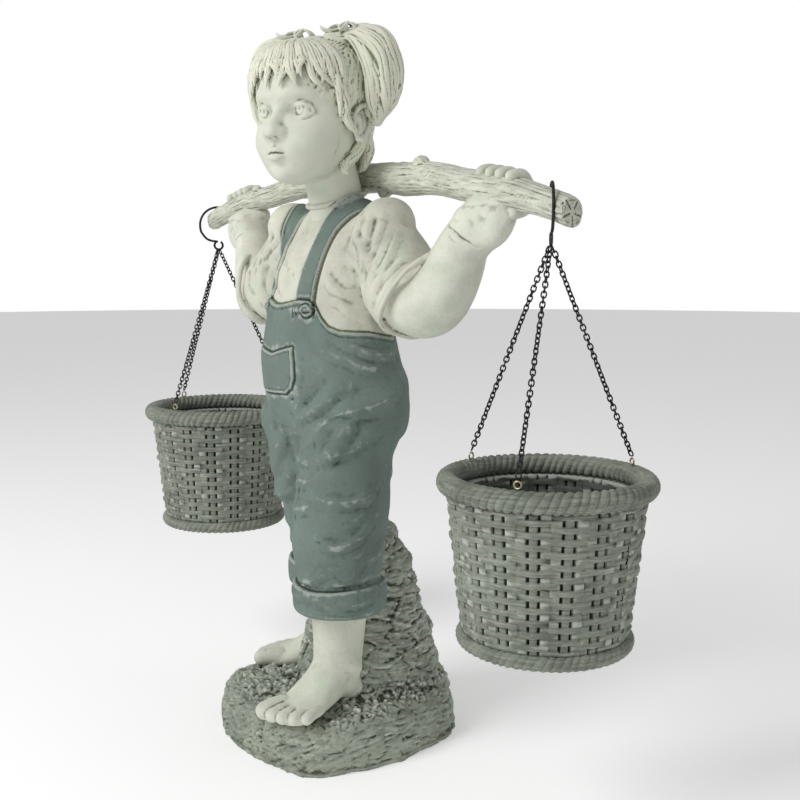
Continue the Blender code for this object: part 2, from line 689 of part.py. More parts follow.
def basket_mesh():
    """A tapered basket with a rolled rim and foot, open at the top, its wall of even thickness."""
    foot, rim, high = BASKET_FOOT_WIDTH / 2, BASKET_RIM_WIDTH / 2, BASKET_HEIGHT
    wall_foot = foot - FOOT_ROLL * 0.9
    wall_rim = rim - RIM_ROLL * 1.15
    profile = [(0, 0.0012), (foot - FOOT_ROLL * 1.7, 0.0012), (foot - FOOT_ROLL, 0), (foot, FOOT_ROLL),
               (foot - FOOT_ROLL * 0.3, FOOT_ROLL * 1.7), (wall_foot + 0.001, FOOT_ROLL * 2.1),
               (wall_rim + 0.0005, high - RIM_ROLL * 2.1), (rim - RIM_ROLL * 0.25, high - RIM_ROLL * 1.65),
               (rim, high - RIM_ROLL), (rim - RIM_ROLL * 0.3, high - RIM_ROLL * 0.3), (rim - RIM_ROLL, high),
               (rim - RIM_ROLL * 1.7, high - RIM_ROLL * 0.3), (wall_rim - BASKET_WALL, high - RIM_ROLL * 1.7),
               (wall_foot - BASKET_WALL, FOOT_ROLL + BASKET_FLOOR), (wall_foot - BASKET_WALL - 0.003, BASKET_FLOOR), (0, BASKET_FLOOR)]
    work = bmesh.new()
    rings = []
    for r, z in profile:
        if r == 0:
            rings.append([work.verts.new((0, 0, z))])
        else:
            turns = [2 * math.pi * i / BASKET_SIDES for i in range(BASKET_SIDES)]
            rings.append([work.verts.new((r * math.cos(t), r * math.sin(t), z)) for t in turns])
    for low, high_ring in zip(rings, rings[1:]):
        for i in range(BASKET_SIDES):
            j = (i + 1) % BASKET_SIDES
            corners = [low[i % len(low)], low[j % len(low)], high_ring[j % len(high_ring)], high_ring[i % len(high_ring)]]
            work.faces.new(list(dict.fromkeys(corners)))
    bmesh.ops.recalc_face_normals(work, faces=work.faces)
    mesh = bpy.data.meshes.new("basket")
    work.to_mesh(mesh)
    work.free()
    return mesh


def eye_spot(name, side, degrees):
    """The middle of a wire eye that stands on the inner top of the rim."""
    a = math.radians(degrees)
    reach = BASKET_RIM_WIDTH / 2 - RIM_ROLL * 1.35
    return basket_middle(name, side) + Vector(
        (reach * math.cos(a), reach * math.sin(a), BASKET_HEIGHT + EYE_WIDTH / 2 - 0.0004)
    )


def eye_mesh(name, side, degrees):
    """A closed ring of wire, in the upright plane along the rim."""
    a = math.radians(degrees)
    spot = eye_spot(name, side, degrees)
    along = Vector((-math.sin(a), math.cos(a), 0))
    r = EYE_WIDTH / 2 - EYE_WIRE / 2
    rows = [spot + along * r * math.cos(t) + Vector((0, 0, r * math.sin(t))) for t in (2 * math.pi * i / 10 for i in range(10))]
    return sweep(rows, [(EYE_WIRE / 2, EYE_WIRE / 2)] * 10, 5, "eye", closed=True, side_hint=(math.cos(a), math.sin(a), 0))


def chain_mesh(name, side, degrees):
    """A knobbly bar, one ring for each link, broad across and along in turn."""
    a = math.radians(degrees)
    out = Vector((math.cos(a), math.sin(a), 0))
    start = hook_foot(name, side) - Vector((0, 0, HOOK_EYE + HOOK_WIRE)) + out * 0.0038
    end = eye_spot(name, side, degrees) + Vector((0, 0, EYE_WIDTH / 2 + 0.0006)) - out * 0.0022
    links = max(2, round((end - start).length / CHAIN_PITCH))
    rows, radii = [], []
    for i in range(links + 1):
        rows.append(start.lerp(end, i / links))
        broad, thin = CHAIN_WIDTH * 0.42, CHAIN_WIRE * 0.72
        radii.append((broad, thin) if i % 2 else (thin, broad))
    return sweep(rows, radii, 4, "chain", side_hint=(-math.sin(a), math.cos(a), 0))


def main():
    clear_scene()
    group = new_collection("stone girl garden statue")
    stone = make_material("cast stone", (0.52, 0.53, 0.49), 0.85)
    weave = make_material("grey cast stone", (0.27, 0.29, 0.26), 0.85)
    wire = make_material("blackened steel wire", (0.03, 0.03, 0.03), 0.5, 1.0)
    brass = make_material("pale wire", (0.55, 0.50, 0.38), 0.45, 1.0)
    make_statue(group, stone)
    for name, side in (("left", 1), ("right", -1)):
        basket = basket_mesh()
        basket.transform(Matrix.Translation(basket_middle(name, side)))
        named_part("basket_" + name, basket, group, weave)
        named_part("hook_" + name, hook_mesh(name, side), group, wire)
        for index, degrees in enumerate(EYES_AT[name], 1):
            named_part(f"chain_{name}_{index}", chain_mesh(name, side, degrees), group, wire)
            named_part(f"eye_{name}_{index}", eye_mesh(name, side, degrees), group, brass)


main()
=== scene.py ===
"""Garden statue of a small girl who carries two woven baskets on a branch across her shoulders.

Makes the carved stone, the woven baskets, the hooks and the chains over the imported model's
solids, and the floor, light and camera. The girl faces -Y and +X is her left.
"""

import itertools
import math

import bmesh
import bpy
import numpy as np
from mathutils import Euler, Matrix, Vector


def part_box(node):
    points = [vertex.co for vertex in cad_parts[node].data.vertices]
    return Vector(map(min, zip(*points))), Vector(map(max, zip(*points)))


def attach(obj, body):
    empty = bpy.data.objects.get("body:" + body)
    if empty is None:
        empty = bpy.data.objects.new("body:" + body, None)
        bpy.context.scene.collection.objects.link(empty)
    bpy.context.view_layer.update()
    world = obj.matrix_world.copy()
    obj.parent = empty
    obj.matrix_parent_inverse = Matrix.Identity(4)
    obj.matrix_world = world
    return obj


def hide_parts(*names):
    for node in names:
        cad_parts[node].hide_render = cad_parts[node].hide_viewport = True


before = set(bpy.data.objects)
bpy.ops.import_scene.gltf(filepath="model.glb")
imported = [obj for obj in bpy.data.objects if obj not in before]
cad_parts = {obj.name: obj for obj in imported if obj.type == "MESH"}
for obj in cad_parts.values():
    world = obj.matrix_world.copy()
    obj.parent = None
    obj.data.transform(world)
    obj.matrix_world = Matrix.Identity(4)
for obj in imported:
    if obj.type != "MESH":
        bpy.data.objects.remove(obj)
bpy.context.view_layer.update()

bl_info = {
    "name": "Girl with two baskets",
    "version": (1, 0, 0),
    "blender": (4, 5, 0),
    "location": "3D View > Sidebar > Garden statue",
    "description": "Carves the garden statue, its branch and rock, and hangs its baskets",
    "category": "Object",
}

MM = 0.001
HEAD_CENTRE = np.array([0.0, -28.0, 563.0])
HEAD_TURN = math.radians(18.0)
BRANCH_Y = 12.4
BRANCH_ENDS = {-1: 256.0, 1: 268.0}
HOOK_X = 246.0
HOOK_TURN = {"left": 48.0, "right": -20.0}
SIDES = (("left", 1), ("right", -1))
TRIANGLES = {
    "head": (185000, 90000),
    "body": (195000, 90000),
    "branch": (110000, 50000),
    "rock": (160000, 80000),
    "basket": (155000, 80000),
}


# ---------------------------------------------------------------- sizes and colours


def number_property(name, text, value, **limits):
    return bpy.props.FloatProperty(name=name, description=text, default=value, **limits)


def count_property(name, text, value, low, high):
    return bpy.props.IntProperty(name=name, description=text, default=value, min=low, max=high)


def size_property(name, text, value):
    return number_property(name, text, value, subtype="DISTANCE", unit="LENGTH", precision=5)


def colour_property(name, text, value):
    return bpy.props.FloatVectorProperty(
        name=name, description=text, default=value, subtype="COLOR", size=3, min=0.0, max=1.0
    )


class CarvingSizes(bpy.types.PropertyGroup):
    head_grain: size_property("Head grain", "How fine the head and hair are carved", 0.00085)
    body_grain: size_property("Body grain", "How fine the clothes and limbs are carved", 0.0011)
    branch_grain: size_property("Branch grain", "How fine the bark is carved", 0.00095)
    rock_grain: size_property("Rock grain", "How fine the rock is carved", 0.0012)
    cloth: size_property("Cloth", "How far the overalls stand proud of the shirt", 0.0022)
    strap_width: size_property("Strap width", "Width of the overalls' straps", 0.0205)


class BasketSizes(bpy.types.PropertyGroup):
    stakes: count_property("Stakes", "Upright stakes round the basket, an even number", 18, 8, 40)
    row: size_property("Row", "Height of one woven row", 0.0046)
    stake_width: size_property("Stake width", "Width of one upright stake", 0.0060)
    weave: size_property("Weave", "How far a band bends out and in", 0.0013)
    strands: count_property("Rim strands", "Turns of the twisted rim", 72, 12, 120)


class ChainSizes(bpy.types.PropertyGroup):
    link_length: size_property("Link length", "Outer length of a chain link", 0.0064)
    link_width: size_property("Link width", "Outer width of a chain link", 0.0049)
    link_wire: size_property("Link wire", "Thickness of the links' wire", 0.00125)
    hook_wire: size_property("Hook wire", "Thickness of the hooks' wire", 0.0024)
    eye_wire: size_property("Eye wire", "Thickness of the wire eyes on the rims", 0.0014)


class StonePaints(bpy.types.PropertyGroup):
    skin: colour_property("Skin", "Bare stone of face, arms and feet", (0.635, 0.645, 0.570))
    shirt: colour_property("Shirt", "Stone of the shirt", (0.590, 0.585, 0.515))
    overalls: colour_property("Overalls", "Stained stone of the overalls", (0.156, 0.200, 0.184))
    hair: colour_property("Hair", "Stone of the hair", (0.720, 0.712, 0.610))
    ribbon: colour_property("Ribbon", "Stone of the bows", (0.730, 0.720, 0.650))
    bark: colour_property("Bark", "Stone of the branch", (0.570, 0.575, 0.500))
    rock: colour_property("Rock", "Stone of the base", (0.300, 0.323, 0.277))
    basket: colour_property("Basket", "Stone of the baskets", (0.225, 0.240, 0.207))
    inside: colour_property("Inside", "Unlit stone inside the baskets", (0.075, 0.082, 0.070))
    # Recess is the statue's darker crease paint, and it also serves as painted shade in the creases and in the broad
    # hollows
    recess: colour_property("Recess", "Wash that lies in the hollows", (0.055, 0.062, 0.040))
    brush: colour_property("Dry brush", "Pale paint on the ridges", (0.600, 0.620, 0.560))


class StageSettings(bpy.types.PropertyGroup):
    floor: colour_property("Floor", "Colour of the floor", (0.93, 0.93, 0.93))
    glow: number_property("Glow", "Light that the floor gives by itself, as a lit table does", 0.24, min=0.0)
    key_power: number_property("Key light", "Power of the large front light", 29.0, unit="POWER")
    side_power: number_property("Side light", "Power of the light on her left", 3.4, unit="POWER")
    sky: number_property("Sky", "Strength of the light from all round", 0.41, min=0.0)
    lens: number_property("Lens", "Focal length in millimetres", 48.42)


# ---------------------------------------------------------------- object helpers


def deselect():
    bpy.ops.object.select_all(action="DESELECT")


def only(item):
    """Makes the piece the one selected and active object."""
    deselect()
    item.select_set(True)
    bpy.context.view_layer.objects.active = item


def apply_modifier(item, kind, **settings):
    only(item)
    made = item.modifiers.new(kind.title(), kind)
    for key, value in settings.items():
        setattr(made, key, value)
    bpy.ops.object.modifier_apply(modifier=made.name)


def new_object(name, mesh):
    item = bpy.data.objects.new(name, mesh)
    bpy.context.scene.collection.objects.link(item)
    return item


def placed(item, finish, slot, *nodes):
    """Gives a finished piece its material and its place in the frame."""
    only(item)
    bpy.ops.object.transform_apply(location=True, rotation=True, scale=True)
    item.data.materials.clear()
    item.data.materials.append(finish)
    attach(item, "root")
    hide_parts(*nodes)


def points_of(mesh):
    """Places in millimetres and normals of all points."""
    points = np.zeros(len(mesh.vertices) * 3)
    mesh.vertices.foreach_get("co", points)
    normals = np.zeros(len(mesh.vertices) * 3)
    mesh.vertex_normals.foreach_get("vector", normals)
    return points.reshape(-1, 3) / MM, normals.reshape(-1, 3)


def move_points(mesh, points):
    mesh.vertices.foreach_set("co", (points * MM).astype(np.float32).ravel())
    mesh.update()


def store(mesh, name, values):
    """Keeps one number for each point under a name that the finish reads."""
    made = mesh.attributes.new(name, "FLOAT", "POINT")
    made.data.foreach_set("value", np.ascontiguousarray(values, dtype=np.float32))


def joined_points(mesh):
    """The first and the second point of every edge."""
    edges = np.zeros(len(mesh.edges) * 2, dtype=np.int32)
    mesh.edges.foreach_get("vertices", edges)
    return edges.reshape(-1, 2).T


def mean_of_neighbours(values, pairs, rounds):
    """Averages rows of numbers over joined points, again and again."""
    first, second = pairs
    count = np.bincount(first, minlength=len(values)) + np.bincount(second, minlength=len(values))
    count = np.maximum(count, 1)
    for _ in range(rounds):
        total = np.empty_like(values)
        for axis in range(values.shape[1]):
            column = values[:, axis]
            total[:, axis] = (
                np.bincount(first, weights=column[second], minlength=len(values))
                + np.bincount(second, weights=column[first], minlength=len(values))
            ) / count
        values = 0.5 * values + 0.5 * total
    return values


def store_hollows(mesh, near=5, far=40, weight=1.0):
    """Keeps how hollow each place is, in shares of what is usual on the piece: creases, and then broad hollows."""
    points, normals = points_of(mesh)
    pairs = joined_points(mesh)
    soft = mean_of_neighbours(points, pairs, near)
    small = ((soft - points) * normals).sum(1)
    softer = mean_of_neighbours(soft, pairs, far - near)
    large = ((softer - points) * normals).sum(1)
    crease = mean_of_neighbours((small - large * near / far)[:, None], pairs, 1)[:, 0]
    for name, values in (("hollow", crease), ("deep", large)):
        usual = np.sqrt(np.mean(np.clip(values, *np.percentile(values, (4, 96))) ** 2))
        store(mesh, name, weight * np.clip(values / max(usual, 1e-6), -4, 4))


# ---------------------------------------------------------------- numbers over points


def smooth_path(points, steps):
    """Points on a Catmull-Rom curve through the given rows of numbers, steps for each stretch."""
    rows = np.array(points, float)
    rows = np.vstack([2 * rows[0] - rows[1], rows, 2 * rows[-1] - rows[-2]])
    found = []
    for i in range(1, len(rows) - 2):
        a, b, c, d = rows[i - 1 : i + 3]
        for t in np.arange(steps) / steps:
            found.append(
                0.5 * (2 * b + (c - a) * t + (2 * a - 5 * b + 4 * c - d) * t**2 + (3 * b - a - 3 * c + d) * t**3)
            )
    found.append(rows[-2])
    return np.array(found)


def step(values, low, high):
    """A soft step from 0 at low to 1 at high."""
    t = np.clip((values - low) / (high - low), 0, 1)
    return t * t * (3 - 2 * t)


def bell(values, middle, half):
    """A soft hump of height 1 over the middle."""
    return np.exp(-(((values - middle) / half) ** 2))


def compass(degrees):
    """Cosine and sine of an angle."""
    return math.cos(math.radians(degrees)), math.sin(math.radians(degrees))


def mirrored(side, rows):
    """Rows that start with x, as they are on her left or turned over to her right."""
    return [(side * x, *rest) for x, *rest in rows]


def lumps(points, size, seed):
    """Smooth random heights from -1 to 1 at the points. size is the width of a lump, one number or three."""
    table = np.random.default_rng(seed).random((32, 32, 32)) * 2 - 1
    q = points / size + 511.0
    cell = np.floor(q).astype(int)
    f = q - cell
    f = f * f * (3 - 2 * f)
    total = np.zeros(len(points))
    ends = (1 - f, f)
    for corner in itertools.product((0, 1), repeat=3):
        i, j, k = corner
        share = ends[i][:, 0] * ends[j][:, 1] * ends[k][:, 2]
        total += share * table[tuple(((cell + corner) & 31).T)]
    return total


def grain_of(points, size, seed, layers=3, ridged=False):
    """Layers of lumps, each half as wide and half as high. Ridged ones meet in sharp crests."""
    total = np.zeros(len(points))
    size = np.array(size, float)
    for layer in range(layers):
        value = lumps(points, size / 2**layer, seed + layer)
        if ridged:
            value = 1 - 2 * np.abs(value)
        total += value / 2**layer
    return total


def rough(points, size, seed, layers=3, ridged=False):
    """Layers of lumps as grain_of gives, each turned its own way and bent, so that no row or column shows."""
    total = np.zeros(len(points))
    rng = np.random.default_rng(seed)
    for layer in range(layers):
        turned = points @ np.array(Euler(rng.uniform(0, 6.2, 3)).to_matrix())
        width = size / 1.9**layer
        sway = np.stack([lumps(turned, 1.6 * width, seed + 11 + axis) for axis in range(3)], axis=1)
        bent = turned + 0.45 * width * sway
        value = lumps(bent, width, seed + layer)
        if ridged:
            value = 1 - 2.4 * np.abs(value)
        total += value / 1.9**layer
    return total


def clods(points, size, seed, crack=0.12):
    """Broken blocks: each has its own height and lean, with cracks between them."""
    rng = np.random.default_rng(seed)
    table = rng.random((16, 16, 16, 3))
    tops = rng.uniform(-1, 1, (16, 16, 16, 4))
    q = points / size + 0.25 * np.stack([lumps(points, 1.3 * size, seed + axis) for axis in (1, 2, 3)], axis=1)
    cell = np.floor(q).astype(int)
    first, second = np.full(len(q), 9.0), np.full(len(q), 9.0)
    height = np.zeros(len(q))
    for corner in itertools.product((-1, 0, 1), repeat=3):
        spot = cell + corner
        index = tuple((spot & 15).T)
        away = q - spot - table[index]
        d = np.linalg.norm(away, axis=1)
        top = tops[index]
        nearer = d < first
        second = np.where(nearer, first, np.minimum(second, d))
        first = np.where(nearer, d, first)
        height = np.where(nearer, top[:, 0] + (top[:, 1:] * away).sum(1) * 1.2, height)
    return height - 1.3 * bell(second - first, 0, crack)


class Path:
    """A smooth line over the work."""

    def __init__(self, rows, steps=5):
        self.rows = smooth_path(rows, steps)[:, :3]

    def near(self, points, reach):
        """The points within reach: which, how far off, their share along, the way on and the nearest place."""
        low, high = self.rows.min(0) - reach, self.rows.max(0) + reach
        inside = np.nonzero(np.all((points > low) & (points < high), axis=1))[0]
        some = points[inside]
        best = np.full(len(some), 1e9)
        share = np.zeros(len(some))
        ahead = np.zeros((len(some), 3))
        foot = np.zeros((len(some), 3))
        for i in range(len(self.rows) - 1):
            a, b = self.rows[i], self.rows[i + 1]
            t = np.clip((some - a) @ (b - a) / max((b - a) @ (b - a), 1e-12), 0, 1)
            spot = a + t[:, None] * (b - a)
            d = np.linalg.norm(some - spot, axis=1)
            nearer = d < best
            best[nearer] = d[nearer]
            share[nearer] = (i + t[nearer]) / (len(self.rows) - 1)
            ahead[nearer] = (b - a) / np.linalg.norm(b - a)
            foot[nearer] = spot[nearer]
        keep = best < reach
        return inside[keep], best[keep], share[keep], ahead[keep], foot[keep]


class Carving:
    """Strokes that raise or sink the skin of one mesh, in millimetres."""

    def __init__(self, mesh):
        self.mesh = mesh
        self.points, self.normals = points_of(mesh)
        self.lift = np.zeros(len(self.points))

    def fade(self, share, power):
        """Lower to both ends of a stroke."""
        return np.sin(math.pi * np.clip(share, 0.03, 0.97)) ** power

    def stroke(self, rows, half, height, bank=0.0, ends=0.5, steps=5, keen=0.0):
        """A ridge, or a valley where height is below 0, with banks of the other way. keen sharpens it."""
        which, d, share, _, _ = Path(rows, steps).near(self.points, half * 3.4)
        fade = self.fade(share, ends) if ends else 1.0
        shape = (1 - keen) * bell(d, 0, half) + keen * np.exp(-d / (0.6 * half))
        if bank:
            shape = shape - bank * bell(d, 2.0 * half, 0.75 * half)
        self.lift[which] += height * shape * fade

    def fold(self, rows, wide, height):
        """A fold of cloth: a sharp crest with a long slope above and a short one below."""
        which, d, share, _, foot = Path(rows).near(self.points, wide * 1.5)
        away = self.points[which] - foot
        below = -away[:, 2] if abs(rows[0][2] - rows[-1][2]) < 30 else away[:, 0]
        down = step(below / np.maximum(d, 0.3), -0.5, 0.5)
        reach = wide * (1 - 0.42 * down)
        shape = np.clip(1 - d / reach, 0, 1) ** 1.5 - 0.28 * down * bell(d, 0.95 * reach, 0.35 * wide)
        self.lift[which] += height * shape * self.fade(share, 0.6)

    def on_skin(self, rows):
        """The path moved on to the nearest places of the skin."""
        found = []
        for spot in smooth_path(rows, 3):
            nearest = self.points[np.argmin(((self.points - spot) ** 2).sum(1))]
            if not found or np.linalg.norm(nearest - found[-1]) > 1.0:
                found.append(nearest)
        return found

    def dent(self, spot, half, height):
        """A round bump or pit."""
        spot, half = np.array(spot, float), np.array(half, float)
        away = (self.points - spot) / half
        near = np.nonzero(np.all(np.abs(away) < 2.6, axis=1))[0]
        self.lift[near] += height * np.exp(-(away[near] ** 2).sum(1))

    def apply(self):
        move_points(self.mesh, self.points + self.normals * self.lift[:, None])
        self.points, self.normals = points_of(self.mesh)
        self.lift = np.zeros(len(self.points))


# ---------------------------------------------------------------- clay


class Clay:
    """Forms in millimetres, pressed together and made one skin."""

    def __init__(self):
        self.mesh = bmesh.new()

    def ball(self, centre, radii, turn=(0, 0, 0), sides=20):
        place = Matrix.Translation(Vector(centre)) @ Euler([math.radians(a) for a in turn]).to_matrix().to_4x4()
        place = place @ Matrix.Diagonal((*radii, 1.0))
        bmesh.ops.create_uvsphere(self.mesh, u_segments=sides, v_segments=sides // 2 + 2, radius=1.0, matrix=place)

    def limb(self, points, steps=5, sides=14, across=None):
        """A rounded tube through rows of x, y, z, radius. Rows may add a second radius, along across."""
        rows = smooth_path([(*point, point[3])[:5] for point in points], steps)
        centres, wide, thick = rows[:, :3], np.maximum(rows[:, 3], 0.2), np.maximum(rows[:, 4], 0.2)
        along = np.gradient(centres, axis=0)
        along /= np.linalg.norm(along, axis=1)[:, None]
        side = np.array(across, float) if across is not None else np.array([0.31, 0.17, 0.93])
        sections = []
        for centre, tangent, r1, r2 in zip(centres, along, wide, thick):
            side = side - tangent * (side @ tangent)
            side /= np.linalg.norm(side)
            sections.append((centre, tangent, side, np.cross(tangent, side), r1, r2))
        first, last = sections[0], sections[-1]
        round_end = (0.35, 0.7, 1.1)
        rings = [self.ring(first, sides, -math.cos(a), math.sin(a)) for a in round_end]
        rings += [self.ring(section, sides, 0.0, 1.0) for section in sections]
        rings += [self.ring(last, sides, math.cos(a), math.sin(a)) for a in reversed(round_end)]
        self.skin_rings(rings)

    def ring(self, section, sides, ahead, share):
        centre, tangent, side, up, r1, r2 = section
        middle = centre + tangent * ahead * min(r1, r2)
        turns = [2 * math.pi * i / sides for i in range(sides)]
        return [
            self.mesh.verts.new(middle + (side * math.cos(t) * r1 + up * math.sin(t) * r2) * share) for t in turns
        ]

    def stack(self, sections, steps=5, sides=48, power=2.0, turn=0.0):
        """A body of level sections, rows of x, y, z, half width along X, half width along Y."""
        rings = []
        ahead, aside = math.cos(turn), math.sin(turn)
        for x, y, z, wide, deep in smooth_path(sections, steps):
            ring = []
            for i in range(sides):
                t = 2 * math.pi * i / sides
                c, s = math.cos(t), math.sin(t)
                reach = (abs(c) ** power + abs(s) ** power) ** (-1 / power)
                u, v = wide * c * reach, deep * s * reach
                ring.append(self.mesh.verts.new((x + u * ahead - v * aside, y + u * aside + v * ahead, z)))
            rings.append(ring)
        self.skin_rings(rings)

    def slab(self, outline, middle, levels):
        """A body of one outline, made larger or smaller about a middle at each level of z and size."""
        corners = smooth_path([*outline[-1:], *outline, *outline[:2]], 6)[6:-7]
        rings = []
        for z, size in smooth_path(levels, 3):
            ring = np.array(middle) + (corners - middle) * size
            rings.append([self.mesh.verts.new((x, y, z)) for x, y in ring])
        self.skin_rings(rings)

    def skin_rings(self, rings):
        for low, high in zip(rings, rings[1:]):
            for i in range(len(low)):
                j = (i + 1) % len(low)
                self.mesh.faces.new((low[i], low[j], high[j], high[i]))
        self.mesh.faces.new(list(reversed(rings[0])))
        self.mesh.faces.new(rings[-1])

    def add(self, item):
        """Presses in a skin that was made before, and removes its object."""
        start = len(self.mesh.verts)
        self.mesh.from_mesh(item.data)
        self.mesh.verts.ensure_lookup_table()
        for vertex in self.mesh.verts[start:]:
            vertex.co /= MM
        bpy.data.objects.remove(item)

    def skin(self, name, grain, rounds):
        """One closed skin over all the forms, smoothed the given number of times."""
        mesh = bpy.data.meshes.new(name)
        bmesh.ops.scale(self.mesh, vec=(MM, MM, MM), verts=self.mesh.verts)
        bmesh.ops.recalc_face_normals(self.mesh, faces=self.mesh.faces)
        self.mesh.to_mesh(mesh)
        self.mesh.free()
        item = new_object(name, mesh)
        apply_modifier(item, "REMESH", mode="VOXEL", voxel_size=grain)
        if rounds:
            apply_modifier(item, "SMOOTH", factor=0.5, iterations=rounds)
        return item


def thin(item, kind):
    """Joins faces where the shape is plain until the piece has about the triangles of its kind."""
    triangles = TRIANGLES[kind][0]
    now = 2 * len(item.data.polygons)
    if now > triangles:
        apply_modifier(item, "DECIMATE", ratio=triangles / now)
    only(item)
    bpy.ops.object.shade_smooth()


def grain(value):
    return value * 1.0


# ---------------------------------------------------------------- finishes


class Value:
    """A socket of a finish that takes part in sums."""

    def __init__(self, finish, socket):
        self.finish, self.socket = finish, socket

    def sum(self, operation, *others):
        inputs = dict(enumerate((self, *others)))
        return self.finish.node("ShaderNodeMath", inputs, operation=operation)

    def __add__(self, other):
        return self.sum("ADD", other)

    __radd__ = __add__

    def __sub__(self, other):
        return self.sum("SUBTRACT", other)

    def __mul__(self, other):
        return self.sum("MULTIPLY", other)

    def held(self):
        """Kept between 0 and 1."""
        return self.finish.node("ShaderNodeClamp", {0: self})


class Finish:
    """One material and the nodes that give its look."""

    def __init__(self, name):
        self.material = bpy.data.materials.new(name)
        self.material.use_nodes = True
        self.tree = self.material.node_tree
        self.shader = self.tree.nodes["Principled BSDF"]

    def node(self, kind, inputs=None, out=0, stops=None, **settings):
        """Adds a node: its settings, then a ramp's stops, then its sockets' numbers or links."""
        made = self.tree.nodes.new(kind)
        for key, value in settings.items():
            setattr(made, key, value)
        if stops:
            ramp = made.color_ramp
            while len(ramp.elements) < len(stops):
                ramp.elements.new(0.5)
            for element, (place, level) in zip(ramp.elements, stops):
                element.position, element.color = place, (level, level, level, 1.0)
        for key, value in (inputs or {}).items():
            self.give(made.inputs[key], value)
        return Value(self, made.outputs[out])

    def give(self, socket, value):
        if isinstance(value, Value):
            self.tree.links.new(value.socket, socket)
        else:
            socket.default_value = value

    def attribute(self, name):
        return self.node("ShaderNodeAttribute", out=2, attribute_name=name)

    def place(self):
        return self.node("ShaderNodeTexCoord", out=3)

    def stretched(self, sizes):
        return self.node("ShaderNodeMapping", {"Vector": self.place(), "Scale": sizes})

    def noise(self, scale, detail=3.0, roughness=0.55, place=None):
        inputs = {"Vector": place or self.place(), "Scale": scale, "Detail": detail, "Roughness": roughness}
        return self.node("ShaderNodeTexNoise", inputs)

    def mix(self, share, first, second, way="MIX"):
        """Two colours mixed, or one laid on the other in a way such as MULTIPLY."""
        return self.node("ShaderNodeMix", {0: share, 6: first, 7: second}, out=2, data_type="RGBA", blend_type=way)

    def times(self, colour, other):
        return self.mix(1.0, colour, rgba(other), "MULTIPLY")

    def relief(self, strength, distance, height):
        """Fine relief by bumps, in metres."""
        bump = self.node("ShaderNodeBump", {"Strength": strength, "Distance": distance, "Height": height})
        self.give(self.shader.inputs["Normal"], bump)

    def ramp(self, value, stops):
        return self.node("ShaderNodeValToRGB", {0: value}, stops=stops)


# What the stone's paint is multiplied by where it is dark, pale or green
DARKER, LIGHTER, GREENER = (0.66, 0.68, 0.65), (1.30, 1.30, 1.26), (0.80, 1.0, 0.86)
STONE_ROUGHNESS = 0.84


def rgba(colour):
    return (*colour, 1.0)


def stone_finish(name, layers, paints, recess=1.0, brush=0.5, mottle=0.16, green=0.25, pores=0.3,
                 wash_and_shade_shares=(0.30, 0.45), grooves=None, bump=0.35):
    """Painted cast stone. layers are (attribute or None, colour).

    Darker paint lies in the creases, as the statue's paint has, with painted shade over it in the creases and in the
    broad hollows; dry paint lies on the ridges. A pair of shares gives this darkening in broad hollows and in creases.
    """
    finish = Finish(name)
    colour = rgba(layers[0][1])
    for attribute, layer in layers[1:]:
        colour = finish.mix(finish.attribute(attribute), colour, rgba(layer))
    broad = finish.noise(16.0, 2.0)
    blotch = finish.noise(70.0, 4.0, 0.6)
    fine = finish.noise(520.0, 3.0, 0.7)
    shade = (broad - 0.5) * mottle * 1.6 + (blotch - 0.5) * mottle + (fine - 0.5) * mottle * 0.9
    if grooves:
        groove = finish.noise(1.0, 3.0, 0.6, finish.stretched(grooves))
        shade = shade + (groove - 0.5) * mottle * 2.4
    light = finish.ramp(shade + 0.5, [(0.30, 0.0), (0.70, 1.0)])
    colour = finish.mix(light, finish.times(colour, DARKER), finish.times(colour, LIGHTER))
    tint = finish.ramp(finish.noise(31.0, 3.0, 0.6), [(0.50, 0.0), (0.72, 1.0)]) * green
    colour = finish.mix(tint, colour, finish.times(colour, GREENER))
    hollow, deep = finish.attribute("hollow"), finish.attribute("deep")
    # Painted shade in the broad hollows and in the creases, laid with the darker paint that the statue has in its
    # creases
    wash_and_shade = ((hollow - 0.35) * wash_and_shade_shares[1]).held() + ((deep - 0.3) * wash_and_shade_shares[0]).held() + (fine - 0.5) * 0.25
    washed_and_shaded = finish.times(colour, [0.10 + 0.9 * c * 3.2 for c in paints.recess])
    colour = finish.mix((wash_and_shade * recess).held(), colour, washed_and_shaded)
    ridge = ((hollow * -1.0 - 0.8) * 0.7 + (fine - 0.5) * 0.8).held() * brush
    colour = finish.mix(ridge, colour, rgba(paints.brush))
    finish.give(finish.shader.inputs["Base Color"], colour)
    finish.give(finish.shader.inputs["Roughness"], (STONE_ROUGHNESS + (blotch - 0.5) * 0.16).held())
    finish.shader.inputs["Specular IOR Level"].default_value = 0.32
    height = fine * pores + blotch * 0.5
    if grooves:
        height = height + groove * 1.2
    finish.relief(bump, 0.0009, height)
    return finish.material


def wire_finish(name, colour, metallic, roughness):
    """Dark or pale drawn wire with a little wear."""
    finish = Finish(name)
    wear = finish.noise(240.0, 3.0, 0.6)
    rub = finish.ramp(wear, [(0.52, 0.0), (0.70, 1.0)])
    paler = [min(1.0, c * 2.6 + 0.02) for c in colour]
    finish.give(finish.shader.inputs["Base Color"], finish.mix(rub, rgba(colour), rgba(paler)))
    finish.give(finish.shader.inputs["Roughness"], (wear * 0.35 + (roughness - 0.17)).held())
    finish.shader.inputs["Metallic"].default_value = metallic
    finish.relief(0.2, 0.0003, wear)
    return finish.material


# ---------------------------------------------------------------- the head


def on_head(x, y, z):
    """A point given from the middle of the head, in the figure's frame."""
    c, s = math.cos(HEAD_TURN), math.sin(HEAD_TURN)
    return HEAD_CENTRE + np.array((x * c - y * s, x * s + y * c, z))


